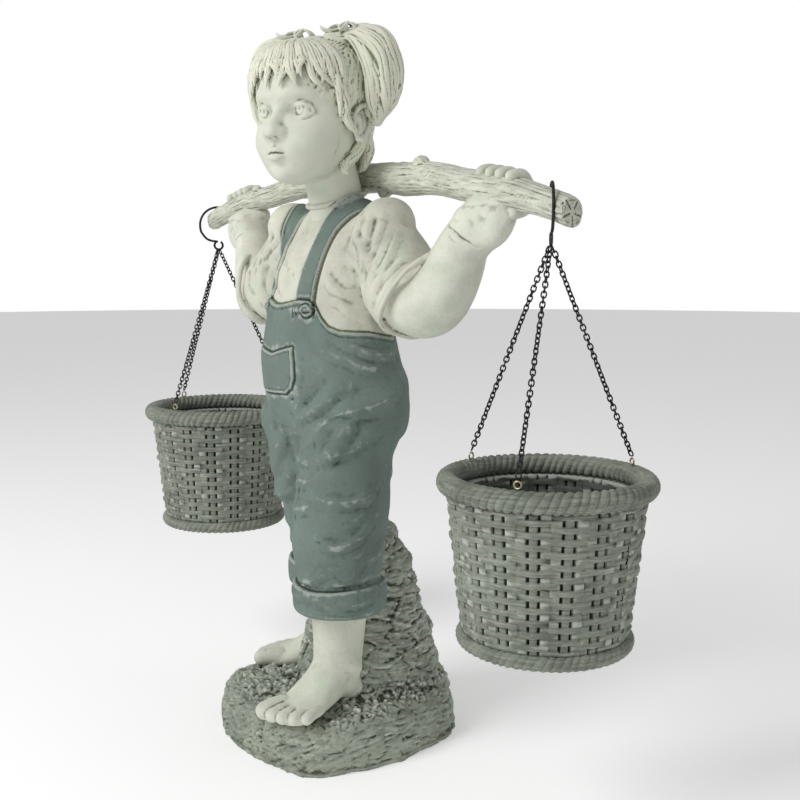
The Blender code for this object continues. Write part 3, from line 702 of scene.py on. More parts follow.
def from_head(points):
    """Points of the figure's frame, given from the middle of the head."""
    c, s = math.cos(HEAD_TURN), math.sin(HEAD_TURN)
    return (points - HEAD_CENTRE) @ np.array([[c, -s, 0], [s, c, 0], [0, 0, 1]])


def head_rows(rows):
    return [(*on_head(*row[:3]), *row[3:]) for row in rows]


def head_spots(rows):
    return [tuple(on_head(*row)) for row in rows]


# Where the hair is tied, from the middle of the head
TIES = {side: (side * 31.0, 15.0, 58.0) for side in (-1, 1)}
# The middle and the radii of the hair on the crown and at the nape, from the middle of the head
CAP = ((0, 10, 18), (53, 58, 46))
NAPE = ((0, 25, -6), (41, 34, 38))
EYE_X = 19.5
# How coarse the soft forms are before the features are pressed in, in metres
SKULL_GRAIN, LIMB_GRAIN = 0.0018, 0.0026


def skull_forms(clay):
    clay.limb([(0, -1, 462, 25), (0, -2, 476, 25), (1, -8, 500, 24), (3, -17, 530, 23)], sides=28)
    rows = [(0, -24, -61, 9.6, 9), (0, -25, -58, 18, 16), (0, -20, -51, 27.5, 26), (0, -14, -40, 35.5, 35),
            (0, -8, -27, 41.5, 42), (0, -4, -13, 44, 46), (0, 1, 0, 46, 51), (0, 5, 14, 48, 56),
            (0, 7, 28, 47.5, 56), (0, 8, 41, 44, 50), (0, 8, 51, 32, 37), (0, 8, 57, 16, 18)]
    clay.stack([(*on_head(*row[:3]), *row[3:]) for row in rows], turn=HEAD_TURN)


# Soft forms of the face from the middle of the head: place, size across and up, how far out
FACE_FORMS = [
    ((19, -46, -4), 11.5, 7.5, -5.2),
    ((10, -48, -2), 4.5, 6.0, -1.6),
    ((20, -46, 9), 13.0, 4.2, 1.7),
    ((25, -42, -28), 14.0, 12.0, 3.4),
    ((14, -48, -36), 6.0, 8.0, 0.9),
    ((0, -50, -37), 12.0, 9.0, 2.4),
    ((0, -48, -56), 10.0, 6.5, 3.4),
    ((0, -48, -47.5), 10.0, 2.8, -1.6),
    ((0, -54, 20), 22.0, 10.0, 1.2),
]


def face_ground(mesh):
    """Eye hollows, brows, cheeks, mouth and chin, as broad forms."""
    carving = Carving(mesh)
    local = from_head(carving.points)
    for (x, _, z), wide, high, out in FACE_FORMS:
        for side in (-1, 1) if x else (1,):
            u, w = (local[:, 0] - side * x) / wide, (local[:, 2] - z) / high
            carving.lift += out * np.exp(-(u * u + w * w)) * (local[:, 1] < -18)
    carving.apply()


def lid_rows(side, upper):
    """Places along the edge of an eyelid."""
    rows = []
    for a in np.linspace(0, math.pi, 9):
        x = EYE_X - 10.0 * math.cos(a)
        if upper:
            z = -5.2 + 5.7 * math.sin(a) ** 0.8 - 0.5 * math.cos(a)
        else:
            z = -5.2 - 4.2 * math.sin(a) - 0.3 * math.cos(a)
        out = 9.9**2 - (x - EYE_X) ** 2 * 0.9 - (z + 3.5) ** 2
        rows.append((side * x, -34.2 - math.sqrt(max(out, 14.0)) + 0.012 * (x - EYE_X) ** 2, z))
    return rows


def nose_forms(clay):
    """A short round nose."""
    clay.limb(head_rows([(0, -43, 4, 5.0), (0, -47.5, -6, 5.2), (0, -51.5, -14, 5.8), (0, -54.5, -19, 6.6)]))
    clay.ball(on_head(0, -55, -20.5), (7.4, 6.6, 6.2))
    for side in (-1, 1):
        clay.ball(on_head(side * 6.4, -50.8, -22.0), (5.0, 5.6, 4.8))


def face_forms(clay):
    """Eyes, lids and lips, calm and plain."""
    for side in (-1, 1):
        clay.ball(on_head(side * EYE_X, -33.4, -4.2), (9.6, 9.8, 9.0), sides=32)
        clay.limb([(*on_head(*row), 1.5) for row in lid_rows(side, True)], sides=10)
        clay.limb([(*on_head(*row), 0.9) for row in lid_rows(side, False)], sides=10)
    clay.limb(head_rows([(-11, -46.0, -38.2, 1.2), (-6.5, -50.2, -36.6, 2.2), (-2.4, -52.6, -35.7, 2.5),
                         (0, -52.6, -36.4, 2.3), (2.4, -52.6, -35.7, 2.5), (6.5, -50.2, -36.6, 2.2),
                         (11, -46.0, -38.2, 1.2)]), sides=10)
    clay.limb(head_rows([(-9.5, -46.6, -39.8, 1.2), (-5, -50.3, -41.2, 2.5), (0, -51.8, -41.9, 3.1),
                         (5, -50.3, -41.2, 2.5), (9.5, -46.6, -39.8, 1.2)]), sides=10)


def ear_forms(clay, side):
    clay.ball(on_head(side * 46.5, 4, -13), (4.0, 9, 14), turn=(0, 0, math.degrees(HEAD_TURN)))
    rim = [(46.5, -4, -8, 1.6), (49.5, -2, -1, 2.0), (51.0, 5, 2.5, 2.3), (51.5, 11.5, -2, 2.4), (51.2, 13, -11, 2.3),
           (50.2, 9.5, -19, 2.4), (49.0, 4, -25, 3.2), (47.5, 0.5, -25, 2.6)]
    clay.limb(head_rows(mirrored(side, rim)), sides=10)


# Lines of the brow, the nostril's wing and the ear on her left, with half width and height
FACE_STROKES = [
    ([(9, -51, 9.5), (17, -49.5, 13.5), (25, -45, 13.5), (32, -40, 10)], 2.4, 0.75),
    ([(9.6, -50.5, -17.5), (11.6, -49, -22), (10.4, -48.5, -26.0)], 1.3, -0.7),
    ([(47.5, 3, -20), (49, 5, -13), (49, 4.5, -6), (48.5, 0, -5)], 2.0, -2.2),
]
# Nostril, corner of the mouth and hollow of the ear, with size and height
FACE_DENTS = [
    ((3.4, -54.5, -26.0), (1.8, 3.0, 1.5), -1.9),
    ((11.6, -46.2, -38.6), (1.6, 2.4, 1.5), -0.8),
    ((47.5, -1, -14), (4, 2.6, 4.5), -2.6),
]


def face_marks(carving):
    """Fine marks of the face: iris rings, lids' creases, nostrils and the line of the lips."""
    local = from_head(carving.points)
    front = local[:, 1] < -34
    for side in (-1, 1):
        d = np.hypot(local[:, 0] - side * 19.2, local[:, 2] + 3.4)
        on_eye = front & (d < 8)
        ring = -0.55 * bell(d, 4.4, 0.6) - 0.20 * step(-d, -4.4, -3.9) - 0.85 * bell(d, 0, 1.4)
        carving.lift[on_eye] += ring[on_eye]
        crease = [(x, y - 0.4, z + 3.6) for x, y, z in lid_rows(side, True)[1:]]
        carving.stroke(head_spots(crease), 0.9, -0.75)
        under = [(x, y - 0.2, z - 2.8) for x, y, z in lid_rows(side, False)[1:-1]]
        carving.stroke(head_spots(under), 1.0, -0.45)
        for rows, half, height in FACE_STROKES:
            carving.stroke(head_spots(mirrored(side, rows)), half, height)
        for (x, y, z), size, height in FACE_DENTS:
            carving.dent(on_head(side * x, y, z), size, height)
    lips = [(-11.5, -47, -38.7), (-6, -51.4, -38.7), (-2, -53.2, -38.1), (0, -53.4, -38.6), (2, -53.2, -38.1),
            (6, -51.4, -38.7), (11.5, -47, -38.7)]
    carving.stroke(head_spots(lips), 0.8, -1.9, ends=0.25)
    carving.stroke(head_spots([(0, -52.5, -28), (0, -52.6, -34)]), 2.0, -0.4)


def cap_forms(clay):
    """Hair combed back over the skull to the two ties."""
    turn = (0, 0, math.degrees(HEAD_TURN))
    clay.ball(on_head(*CAP[0]), CAP[1], turn=turn, sides=48)
    clay.ball(on_head(*NAPE[0]), NAPE[1], turn=turn, sides=40)
    for side in (-1, 1):
        clay.limb(head_rows([(side * 18, 4, 53, 13), (side * 31, 14, 57, 11)]), sides=24)


def over_cap(local):
    """Distance from the middle of the cap or the nape, 1 on its skin."""
    return np.minimum(*(np.linalg.norm((local - middle) / radii, axis=1) for middle, radii in (CAP, NAPE)))


def fringe_locks(rng):
    """Pointed locks over the forehead, from the crown's edge down to their tips."""
    locks = []
    for index in range(23):
        a = math.radians(-66 + 6.0 * index)
        sway = math.radians(rng.uniform(-5, 5)) + math.radians(4.0) * math.sin(index * 1.9) + 0.10 * a
        low = 22 + 4.5 * math.sin(index * 1.7 + 0.5) + rng.uniform(-3, 3) - 12 * abs(math.sin(a)) ** 3
        size = rng.uniform(3.2, 4.6)
        rows = []
        for lift, turn, reach, share in (
            (54, 0.52 * a, 0.64, 1.1), (47, 0.82 * a, 0.885, 1.25), (36, 0.96 * a, 1.0, 1.2),
            (low + 9, a + 0.3 * sway, 1.05, 1.0), (low + 3, a + 0.9 * sway, 1.07, 0.62),
            (low - 3, a + 1.5 * sway, 1.055, 0.18),
        ):
            x, y = 50 * reach * math.sin(turn), 5 - 56 * reach * math.cos(turn)
            rows.append((x, y, lift, size * share, size * share * 0.62))
        locks.append((rows, (math.cos(a), math.sin(a), 0), 5))
    return locks


# Ringlets on her left, and how many strands each has
RINGLETS = [
    ([(44.5, -22, 22, 4.2), (47.5, -20, 10, 4.6), (48.5, -17.5, 1, 4.4), (46.5, -15.5, -7, 3.6),
      (47.5, -11.5, -14, 3.4), (49.5, -7, -18.5, 2.6), (50, -3.5, -20.5, 1.0)], 4),
    ([(45, -25, 22, 3.8), (46.8, -24, 12, 3.6), (46.6, -22.5, 3, 3.0), (45.5, -21, -4, 2.0),
      (44.5, -20.5, -9, 0.8)], 4),
    ([(44, 12, -16, 5.5), (41, 12, -28, 5.6), (37.5, 8, -38, 5.2), (34, 2.5, -44, 4.6),
      (33, 0.5, -50, 3.2), (35.5, 1.5, -53, 1.4)], 5),
]


def side_locks(side, rng):
    """Ringlets before and under the ear, and short wisps at the nape."""
    locks = [(mirrored(side, rows), None, strands) for rows, strands in RINGLETS]
    for index in range(7):
        x = side * (38 - 6.2 * index)
        y = 29 + 4.4 * math.sqrt(index)
        tip = -47 - rng.uniform(0, 5)
        rows = [(x, y - 2, -22, 5.2), (x * 0.97, y + 2, -32, 5.2), (x * 0.93, y + 0.5, -40, 4.2),
                (x * 0.9 + rng.uniform(-3, 3), y - 4, tip, 1.4)]
        locks.append((rows, None, 4))
    return locks


# The middle of the bunch on her left and its radius
PIGTAIL = [(31, 14, 60, 8.5), (37, 15, 62, 12.5), (46, 17, 60, 15.5), (55, 17, 51, 17), (60, 17, 35, 18),
           (61, 17, 16, 16.5), (60, 16, 0, 12.0), (59, 15, -9, 6.5)]


def bunch_rows(side):
    """The middle of a bunch of hair. Both hang a little to her right."""
    return [(side * x - 2.0, y, z, r) for x, y, z, r in PIGTAIL]


def pigtail_locks(side, rng):
    """The long locks of one bunch, from the tie down to blunt and pointed ends."""
    locks = []
    spine = smooth_path(bunch_rows(side), 2)
    for index in range(17):
        a = 2 * math.pi * index / 17 + rng.uniform(-0.12, 0.12)
        twist = rng.uniform(0.10, 0.30)
        reach = rng.uniform(0.90, 1.04)
        size = rng.uniform(0.26, 0.38)
        last = len(spine) - 1 - int(rng.integers(0, 3))
        rows = []
        for number in range(last + 1):
            x, y, z, r = spine[number]
            turn = a + twist * number * 0.5 + 0.10 * math.sin(number * 1.1 + index)
            taper = 1.0 if number < last - 2 else (last - number + 0.45) / 3.0
            away = r * reach * 0.78
            rows.append((x + side * math.cos(turn) * away * 0.92, y + math.sin(turn) * away * 1.05,
                         z + math.cos(turn) * away * 0.30, max(1.1, r * size * taper + 0.6)))
        locks.append((rows, None, 5))
    return locks


# The middle of each bow's knot, from the middle of the head
BOW_KNOTS = {1: (26.5, 8.0, 67.0), -1: (-22.0, 8.0, 66.5)}


def bow_forms(clay, side):
    """The ribbon's knot, its two open loops and two pointed tails on top of the tie."""
    knot = np.array(BOW_KNOTS[side])
    clay.ball(on_head(*knot), (4.2, 5.4, 4.0))
    for way in (-1, 1):
        loop = []
        for a in np.linspace(-0.15, 1.15, 12):
            turn = 2 * math.pi * a
            out = 8.6 * (1 - math.cos(turn))
            z = knot[2] + 1.2 - 0.012 * out * out + 4.6 * math.sin(turn)
            loop.append((knot[0] + side * way * out, knot[1] - 1.5 * way * side, z, 5.0, 1.15))
        clay.limb(head_rows(loop), steps=3, sides=12, across=on_head(-0.2 * side * way, 1, 0.1) - HEAD_CENTRE)
        tail = [(*(knot + (way * x, y, z)), wide, thick) for x, y, z, wide, thick in (
            (2, -3, 0, 2.6, 1.1), (7, -9, -1.5, 3.4, 1.1), (12, -12, 0.5, 2.6, 1.0), (15, -12, 3.5, 0.9, 0.8))]
        clay.limb(head_rows(tail), sides=10, across=on_head(0.3, 1, 0) - HEAD_CENTRE)


def comb(carving, locks, amount):
    """Carves fine strands along every lock, and says how near the points are to hair."""
    best = np.full(len(carving.points), 9.0)
    height = np.zeros(len(carving.points))
    for rows, _, strands in locks:
        spots = head_rows(rows)
        radius = max(row[3] for row in rows)
        which, d, share, ahead, foot = Path(spots, 4).near(carving.points, radius * 1.9)
        if not len(which):
            continue
        sizes = np.interp(share, np.linspace(0, 1, len(rows)), [row[3] for row in rows])
        ratio = d / np.maximum(sizes, 0.8)
        side = np.cross(ahead, (0.31, 0.17, 0.93))
        side /= np.linalg.norm(side, axis=1)[:, None]
        up = np.cross(ahead, side)
        away = carving.points[which] - foot
        angle = np.arctan2((away * up).sum(1), (away * side).sum(1))
        strand = np.cos(angle * (strands + 2) + 1.3 * np.sin(share * 7) + radius * 5)
        strand = strand + 0.6 * np.cos(angle * (2 * strands + 3) - 2 * share)
        closer = ratio < best[which]
        best[which[closer]] = ratio[closer]
        height[which[closer]] = (strand * np.clip(share * 6, 0.3, 1))[closer]
    carving.lift += amount * height * (best < 1.9)
    return best


def cap_combing(carving, on_cap):
    """Strands on the cap that run from the forehead and the nape up to the two ties."""
    local = from_head(carving.points)
    for side in (-1, 1):
        tie = np.array(TIES[side])
        out = tie / np.linalg.norm(tie)
        first = np.cross(out, (0, 0, 1.0))
        first /= np.linalg.norm(first)
        second = np.cross(out, first)
        away = local - tie
        angle = np.arctan2(away @ second, away @ first)
        reach = np.linalg.norm(away, axis=1)
        wander = 0.16 * lumps(local, (14, 14, 14), 5) + 0.05 * lumps(local, (5, 5, 5), 6)
        strands = np.cos((angle + wander) * 23) + 0.75 * np.cos((angle - 0.6 * wander) * 41 + 1)
        strands = strands + 0.5 * np.cos((angle + 2 * wander) * 71)
        share = step(local[:, 0] * side, -0.6, 0.6) * step(reach, 9, 22)
        carving.lift += on_cap * share * 0.42 * strands * (0.65 + 0.35 * lumps(local, (9, 9, 9), 7))
    parting = bell(local[:, 0], 0, 0.9) * (local[:, 1] > -8) * (local[:, 2] > -10)
    carving.lift -= 1.1 * parting * on_cap


class STATUE_OT_head(bpy.types.Operator):
    """Carves her head, hair, bunches and bows"""

    bl_idname = "statue.head"
    bl_label = "Head and hair"

    def execute(self, context):
        sizes, paints = context.scene.carving_sizes, context.scene.stone_paints
        rng = np.random.default_rng(11)
        clay = Clay()
        skull_forms(clay)
        nose_forms(clay)
        skull = clay.skin("skull", SKULL_GRAIN, 9)
        face_ground(skull.data)
        locks = fringe_locks(rng)
        for side in (-1, 1):
            locks += side_locks(side, rng)
            locks += pigtail_locks(side, rng)
        clay = Clay()
        clay.add(skull)
        face_forms(clay)
        cap_forms(clay)
        for side in (-1, 1):
            ear_forms(clay, side)
            bow_forms(clay, side)
            clay.limb(head_rows([(x, y, z, r * 0.80) for x, y, z, r in bunch_rows(side)]), sides=24)
        for rows, across, _ in locks:
            across = None if across is None else on_head(*across) - HEAD_CENTRE
            clay.limb(head_rows(rows), sides=10, across=across)
        head = clay.skin("girl_head", grain(sizes.head_grain), 1)
        self.soften_face(head.data)
        carving = Carving(head.data)
        face_marks(carving)
        on_cap = step(-over_cap(from_head(carving.points)), -1.035, -1.012)
        best = comb(carving, locks, 0.20)
        cap_combing(carving, on_cap * step(best, 0.95, 1.25))
        carving.apply()
        thin(head, "head")
        mesh = head.data
        points, _ = points_of(mesh)
        local = from_head(points)
        hair = self.hair_share(local, locks, points)
        ribbon = self.ribbon_share(local)
        store(mesh, "hair", hair * (1 - ribbon))
        store(mesh, "ribbon", ribbon)
        # Hair and bows get stronger darker paint and painted shade in their hollows, and stronger paint on their
        # ridges
        store_hollows(mesh, weight=0.75 + 0.75 * np.maximum(hair, ribbon))
        layers = [(None, paints.skin), ("hair", paints.hair), ("ribbon", paints.ribbon)]
        finish = stone_finish("pale painted stone", layers, paints, recess=0.95, brush=0.50, mottle=0.12, green=0.30,
                              wash_and_shade_shares=(0.34, 0.46))
        placed(head, finish, "cast_stone", "statue")
        return {"FINISHED"}

    def soften_face(self, mesh):
        """Smooths the face and nothing round it, so that lids and lips grow out of it."""
        points, _ = points_of(mesh)
        local = from_head(points)
        soft = mean_of_neighbours(points, joined_points(mesh), 3)
        share = step(-local[:, 1], 22, 36) * step(-np.hypot(local[:, 0] / 42, (local[:, 2] + 22) / 42), -1.0, -0.6)
        move_points(mesh, points + (soft - points) * share[:, None])

    def hair_share(self, local, locks, points):
        """1 on hair, 0 on skin."""
        share = step(-over_cap(local), -1.035, -1.010)
        for rows, _, _ in locks:
            radii = [row[3] for row in rows]
            which, d, along, _, _ = Path(head_rows(rows), 3).near(points, max(radii) * 1.7)
            sizes = np.interp(along, np.linspace(0, 1, len(rows)), radii)
            share[which] = np.maximum(share[which], step(-d / np.maximum(sizes, 1.0), -1.42, -1.15))
        return share

    def ribbon_share(self, local):
        share = np.zeros(len(local))
        for side in (-1, 1):
            away = (local - (BOW_KNOTS[side][0], 3, 70)) / (20, 15, 8)
            near = step(-np.linalg.norm(away, axis=1), -1.05, -0.95)
            share = np.maximum(share, near * step(local[:, 2], 64.0, 65.5))
        return share


# ---------------------------------------------------------------- the body


def branch_middle(x):
    """The middle of the branch at x, which droops to both ends and bows behind the neck."""
    droop = 509 - 0.00049 * x * x - 0.012 * x + 0.9 * np.sin(0.061 * x + 1)
    bow = 20.0 * bell(x, 0, 105.0) + 0.9 * np.sin(0.085 * x)
    return np.stack([x, BRANCH_Y + bow, droop], axis=-1)


def branch_radius(x):
    places = [-264, -200, -120, 0, 70, 130, 200, 235, 264]
    return np.interp(x, places, [9.3, 10.3, 11.0, 12.8, 14.0, 12.9, 12.7, 11.2, 11.2])


def trunk_forms(clay):
    clay.stack([(0, -3, 240, 50, 37), (0, -3, 265, 58, 41), (0, -4, 300, 74, 55), (0, -8, 330, 73, 56),
                (0, -12, 352, 70, 54), (0, -13, 380, 65, 50), (0, -10, 410, 62, 46), (0, -4, 440, 63, 40),
                (0, 2, 462, 58, 33), (0, 4, 478, 42, 27), (0, 3, 490, 25, 23)])
    for side in (-1, 1):
        clay.ball((side * 30, 12, 322), (33, 31, 34))
        clay.ball((side * 64 - (side < 0) * 4, 4 - (side < 0) * 10, 467), (23, 25, 23))
    clay.stack([(36, -28, 138, 35, 34), (36, -29, 162, 35, 36), (35, -29, 190, 38, 39), (35, -25, 222, 39, 41),
                (33, -19, 262, 37, 40), (32, -8, 300, 42, 46)])
    clay.stack([(-39, 12, 138, 33, 33), (-38, 11, 162, 32, 33), (-36, 8, 190, 34, 36), (-36, 1, 222, 38, 39),
                (-35, -6, 262, 40, 42), (-32, -7, 300, 42, 46)])


# Her left shoulder, her bare arm, the heel of the hand, and the ball of the thumb
SHOULDER = [(58, 1, 452, 30), (78, 0, 433, 33), (98, -4, 410, 35)]
FOREARM = [(96, -5, 411, 29), (124, -4, 400, 27.5), (139, 1, 412, 26.5), (151, 4, 432, 23.5), (159, 6, 448, 20.5),
           (167, 8, 459, 19)]
PALM = [(163, 7, 450, 18.5), (171, 10, 459, 22.5, 16.5), (180, 12, 468, 28.5, 15.5), (183, 13, 476, 31.5, 14.5)]
THUMB = [(160, 2, 462, 9.5), (168, 1, 471, 9), (182, 2, 475, 8.5), (200, 6, 477, 7.5)]
FINGERS, FINGER_RADIUS = 4, 5.6


def arm_forms(clay, side):
    clay.limb(mirrored(side, SHOULDER), sides=24)
    clay.limb(mirrored(side, FOREARM), sides=28)
    clay.limb(mirrored(side, PALM), across=(1, 0, 0), sides=28)
    clay.limb(mirrored(side, THUMB), sides=20)


def hand_forms(clay, side):
    """Fingers that come round behind the branch, their tips over its top."""
    for finger in range(FINGERS):
        x = side * (177 + 11.4 * finger)
        middle = branch_middle(x)
        reach = branch_radius(x) + 1.8
        rows = []
        for angle in (-100, -50, 0, 45, 70, 95, 118):
            a = math.radians(angle)
            knuckle = 0.7 if angle in (0, 70) else 0.0
            size = FINGER_RADIUS + knuckle - 0.006 * (angle + 100)
            rows.append((x, middle[1] + reach * math.cos(a), middle[2] + reach * math.sin(a), size))
        clay.limb(rows, sides=14)


# Each foot's heel, its turn in degrees and its side. The foot's own rows go across, ahead of the heel and up
FEET = (((31, -10), 8, 1), ((-24, 33), 48, -1))
SHIN = [(0, 18, 146, 25), (0, 18, 130, 25), (0, 19, 104, 23), (0, 20, 84, 22), (0, 21, 68, 21)]
INSTEP = [(0, 24, 80, 19, 17), (0, 34, 66, 20, 19), (1, 50, 58, 22, 15), (2, 64, 53, 24, 11), (3, 78, 50, 24, 8.5),
          (3, 86, 49, 21, 6)]
TOE_LEVEL = 51.5
# Toes: across, ahead of the heel, width and height
TOES = [(-15, 92, 9.2, 8), (-2.5, 94, 6.6, 6.2), (7.5, 91, 6.2, 5.8), (16.5, 86, 5.8, 5.5), (24.5, 79, 5.4, 5.2)]


def foot_place(foot, across, ahead, z):
    """A point of a foot, given across, ahead of the heel and up."""
    heel, turn, sign = foot
    c, s = compass(turn)
    across *= sign
    return (heel[0] + across * c + ahead * s * sign, heel[1] + across * s * sign - ahead * c, z)


def foot_forms(clay, foot, toes):
    """Ankle and foot, or only its toes."""
    _, turn, sign = foot
    c, s = compass(turn)
    level = (c, s * sign, 0)

    def at(rows):
        return [(*foot_place(foot, *row[:3]), *row[3:]) for row in rows]

    if not toes:
        clay.limb(at(SHIN), sides=28)
        clay.ball(foot_place(foot, 0, 9, 57), (18, 20, 17), turn=(0, 0, turn * sign))
        clay.limb(at(INSTEP), across=level, sides=28)
        for across in (-19.6, 19.6):
            clay.ball(foot_place(foot, across, 18, 78), (5.5, 8.5, 8.0))
        return
    for across, ahead, wide, high in TOES:
        clay.limb(at([(across * 0.85, ahead - 18, 53, wide * 0.85, high),
                      (across * 0.95, ahead - 8, 53, wide * 0.86, high * 0.98),
                      (across, ahead, TOE_LEVEL, wide, high)]), across=level)


# Rolled cuffs: middle, radius, lower and upper edge
CUFFS = ((35, -28, 39, 131, 157), (-39, 12, 37, 131, 157))


def cuff_forms(clay, x, y, size, low, high):
    middle = (low + high) / 2
    clay.stack([(x, y, low, size * 0.93, size * 0.92), (x, y, low + 3, size, size),
                (x, y, middle, size * 1.03, size * 1.02), (x, y, high - 3, size * 1.02, size),
                (x, y, high, size * 0.96, size * 0.94)], steps=3)


def strap_rows(side):
    """The middle of a strap, from the bib's button over the shoulder to the back."""
    rows = [(38, -60, 392), (36, -58, 406), (34, -52, 424), (34, -42, 448), (35, -28, 468), (41, -4, 486),
            (41, 14, 480), (36, 30, 454), (23, 34, 414), (16, 36, 392)]
    turned = (11, 11, 11, 11, 11, 7, 2, 0, 0, 0)
    back = (14, 15, 15, 13, 10, 2, 0, 0, 0, 0)
    return [(side * x - shift, y + (side < 0) * push, z) for (x, y, z), shift, push in zip(rows, turned, back)]


def bib_line(angle):
    """Height of the overalls' top edge at an angle in degrees round the trunk, 0 in front."""
    return np.interp(np.abs(angle + 10.5), [0, 8, 20, 34, 44, 50, 56, 62, 70, 92, 118, 145, 158, 180],
                     [398, 398.5, 400.5, 402.5, 402, 398, 387, 380, 376.5, 375, 370, 386, 396, 397])


def overalls_share(points, soft=0.6):
    x, y, z = points.T
    angle = np.degrees(np.arctan2(x, -(y + 8)))
    edge = np.clip((bib_line(angle) - z) / soft + 0.5, 0, 1)
    near_trunk = (np.hypot(x / 90, (y + 4) / 78) < 1.0) | (z < 345)
    return edge * near_trunk * step(z, 128.5, 130.5)


def arm_skin_share(points):
    """1 on the bare forearm beyond the sleeve's hem."""
    x, y, z = points.T
    along = (np.abs(x) - 130) * 0.86 - (z - 411) * 0.51
    along = along - 10 * step(-z, -388, -372) + 0.8 * np.sin(y * 0.35)
    return step(along, -0.5, 0.5) * (np.abs(x) > 92)


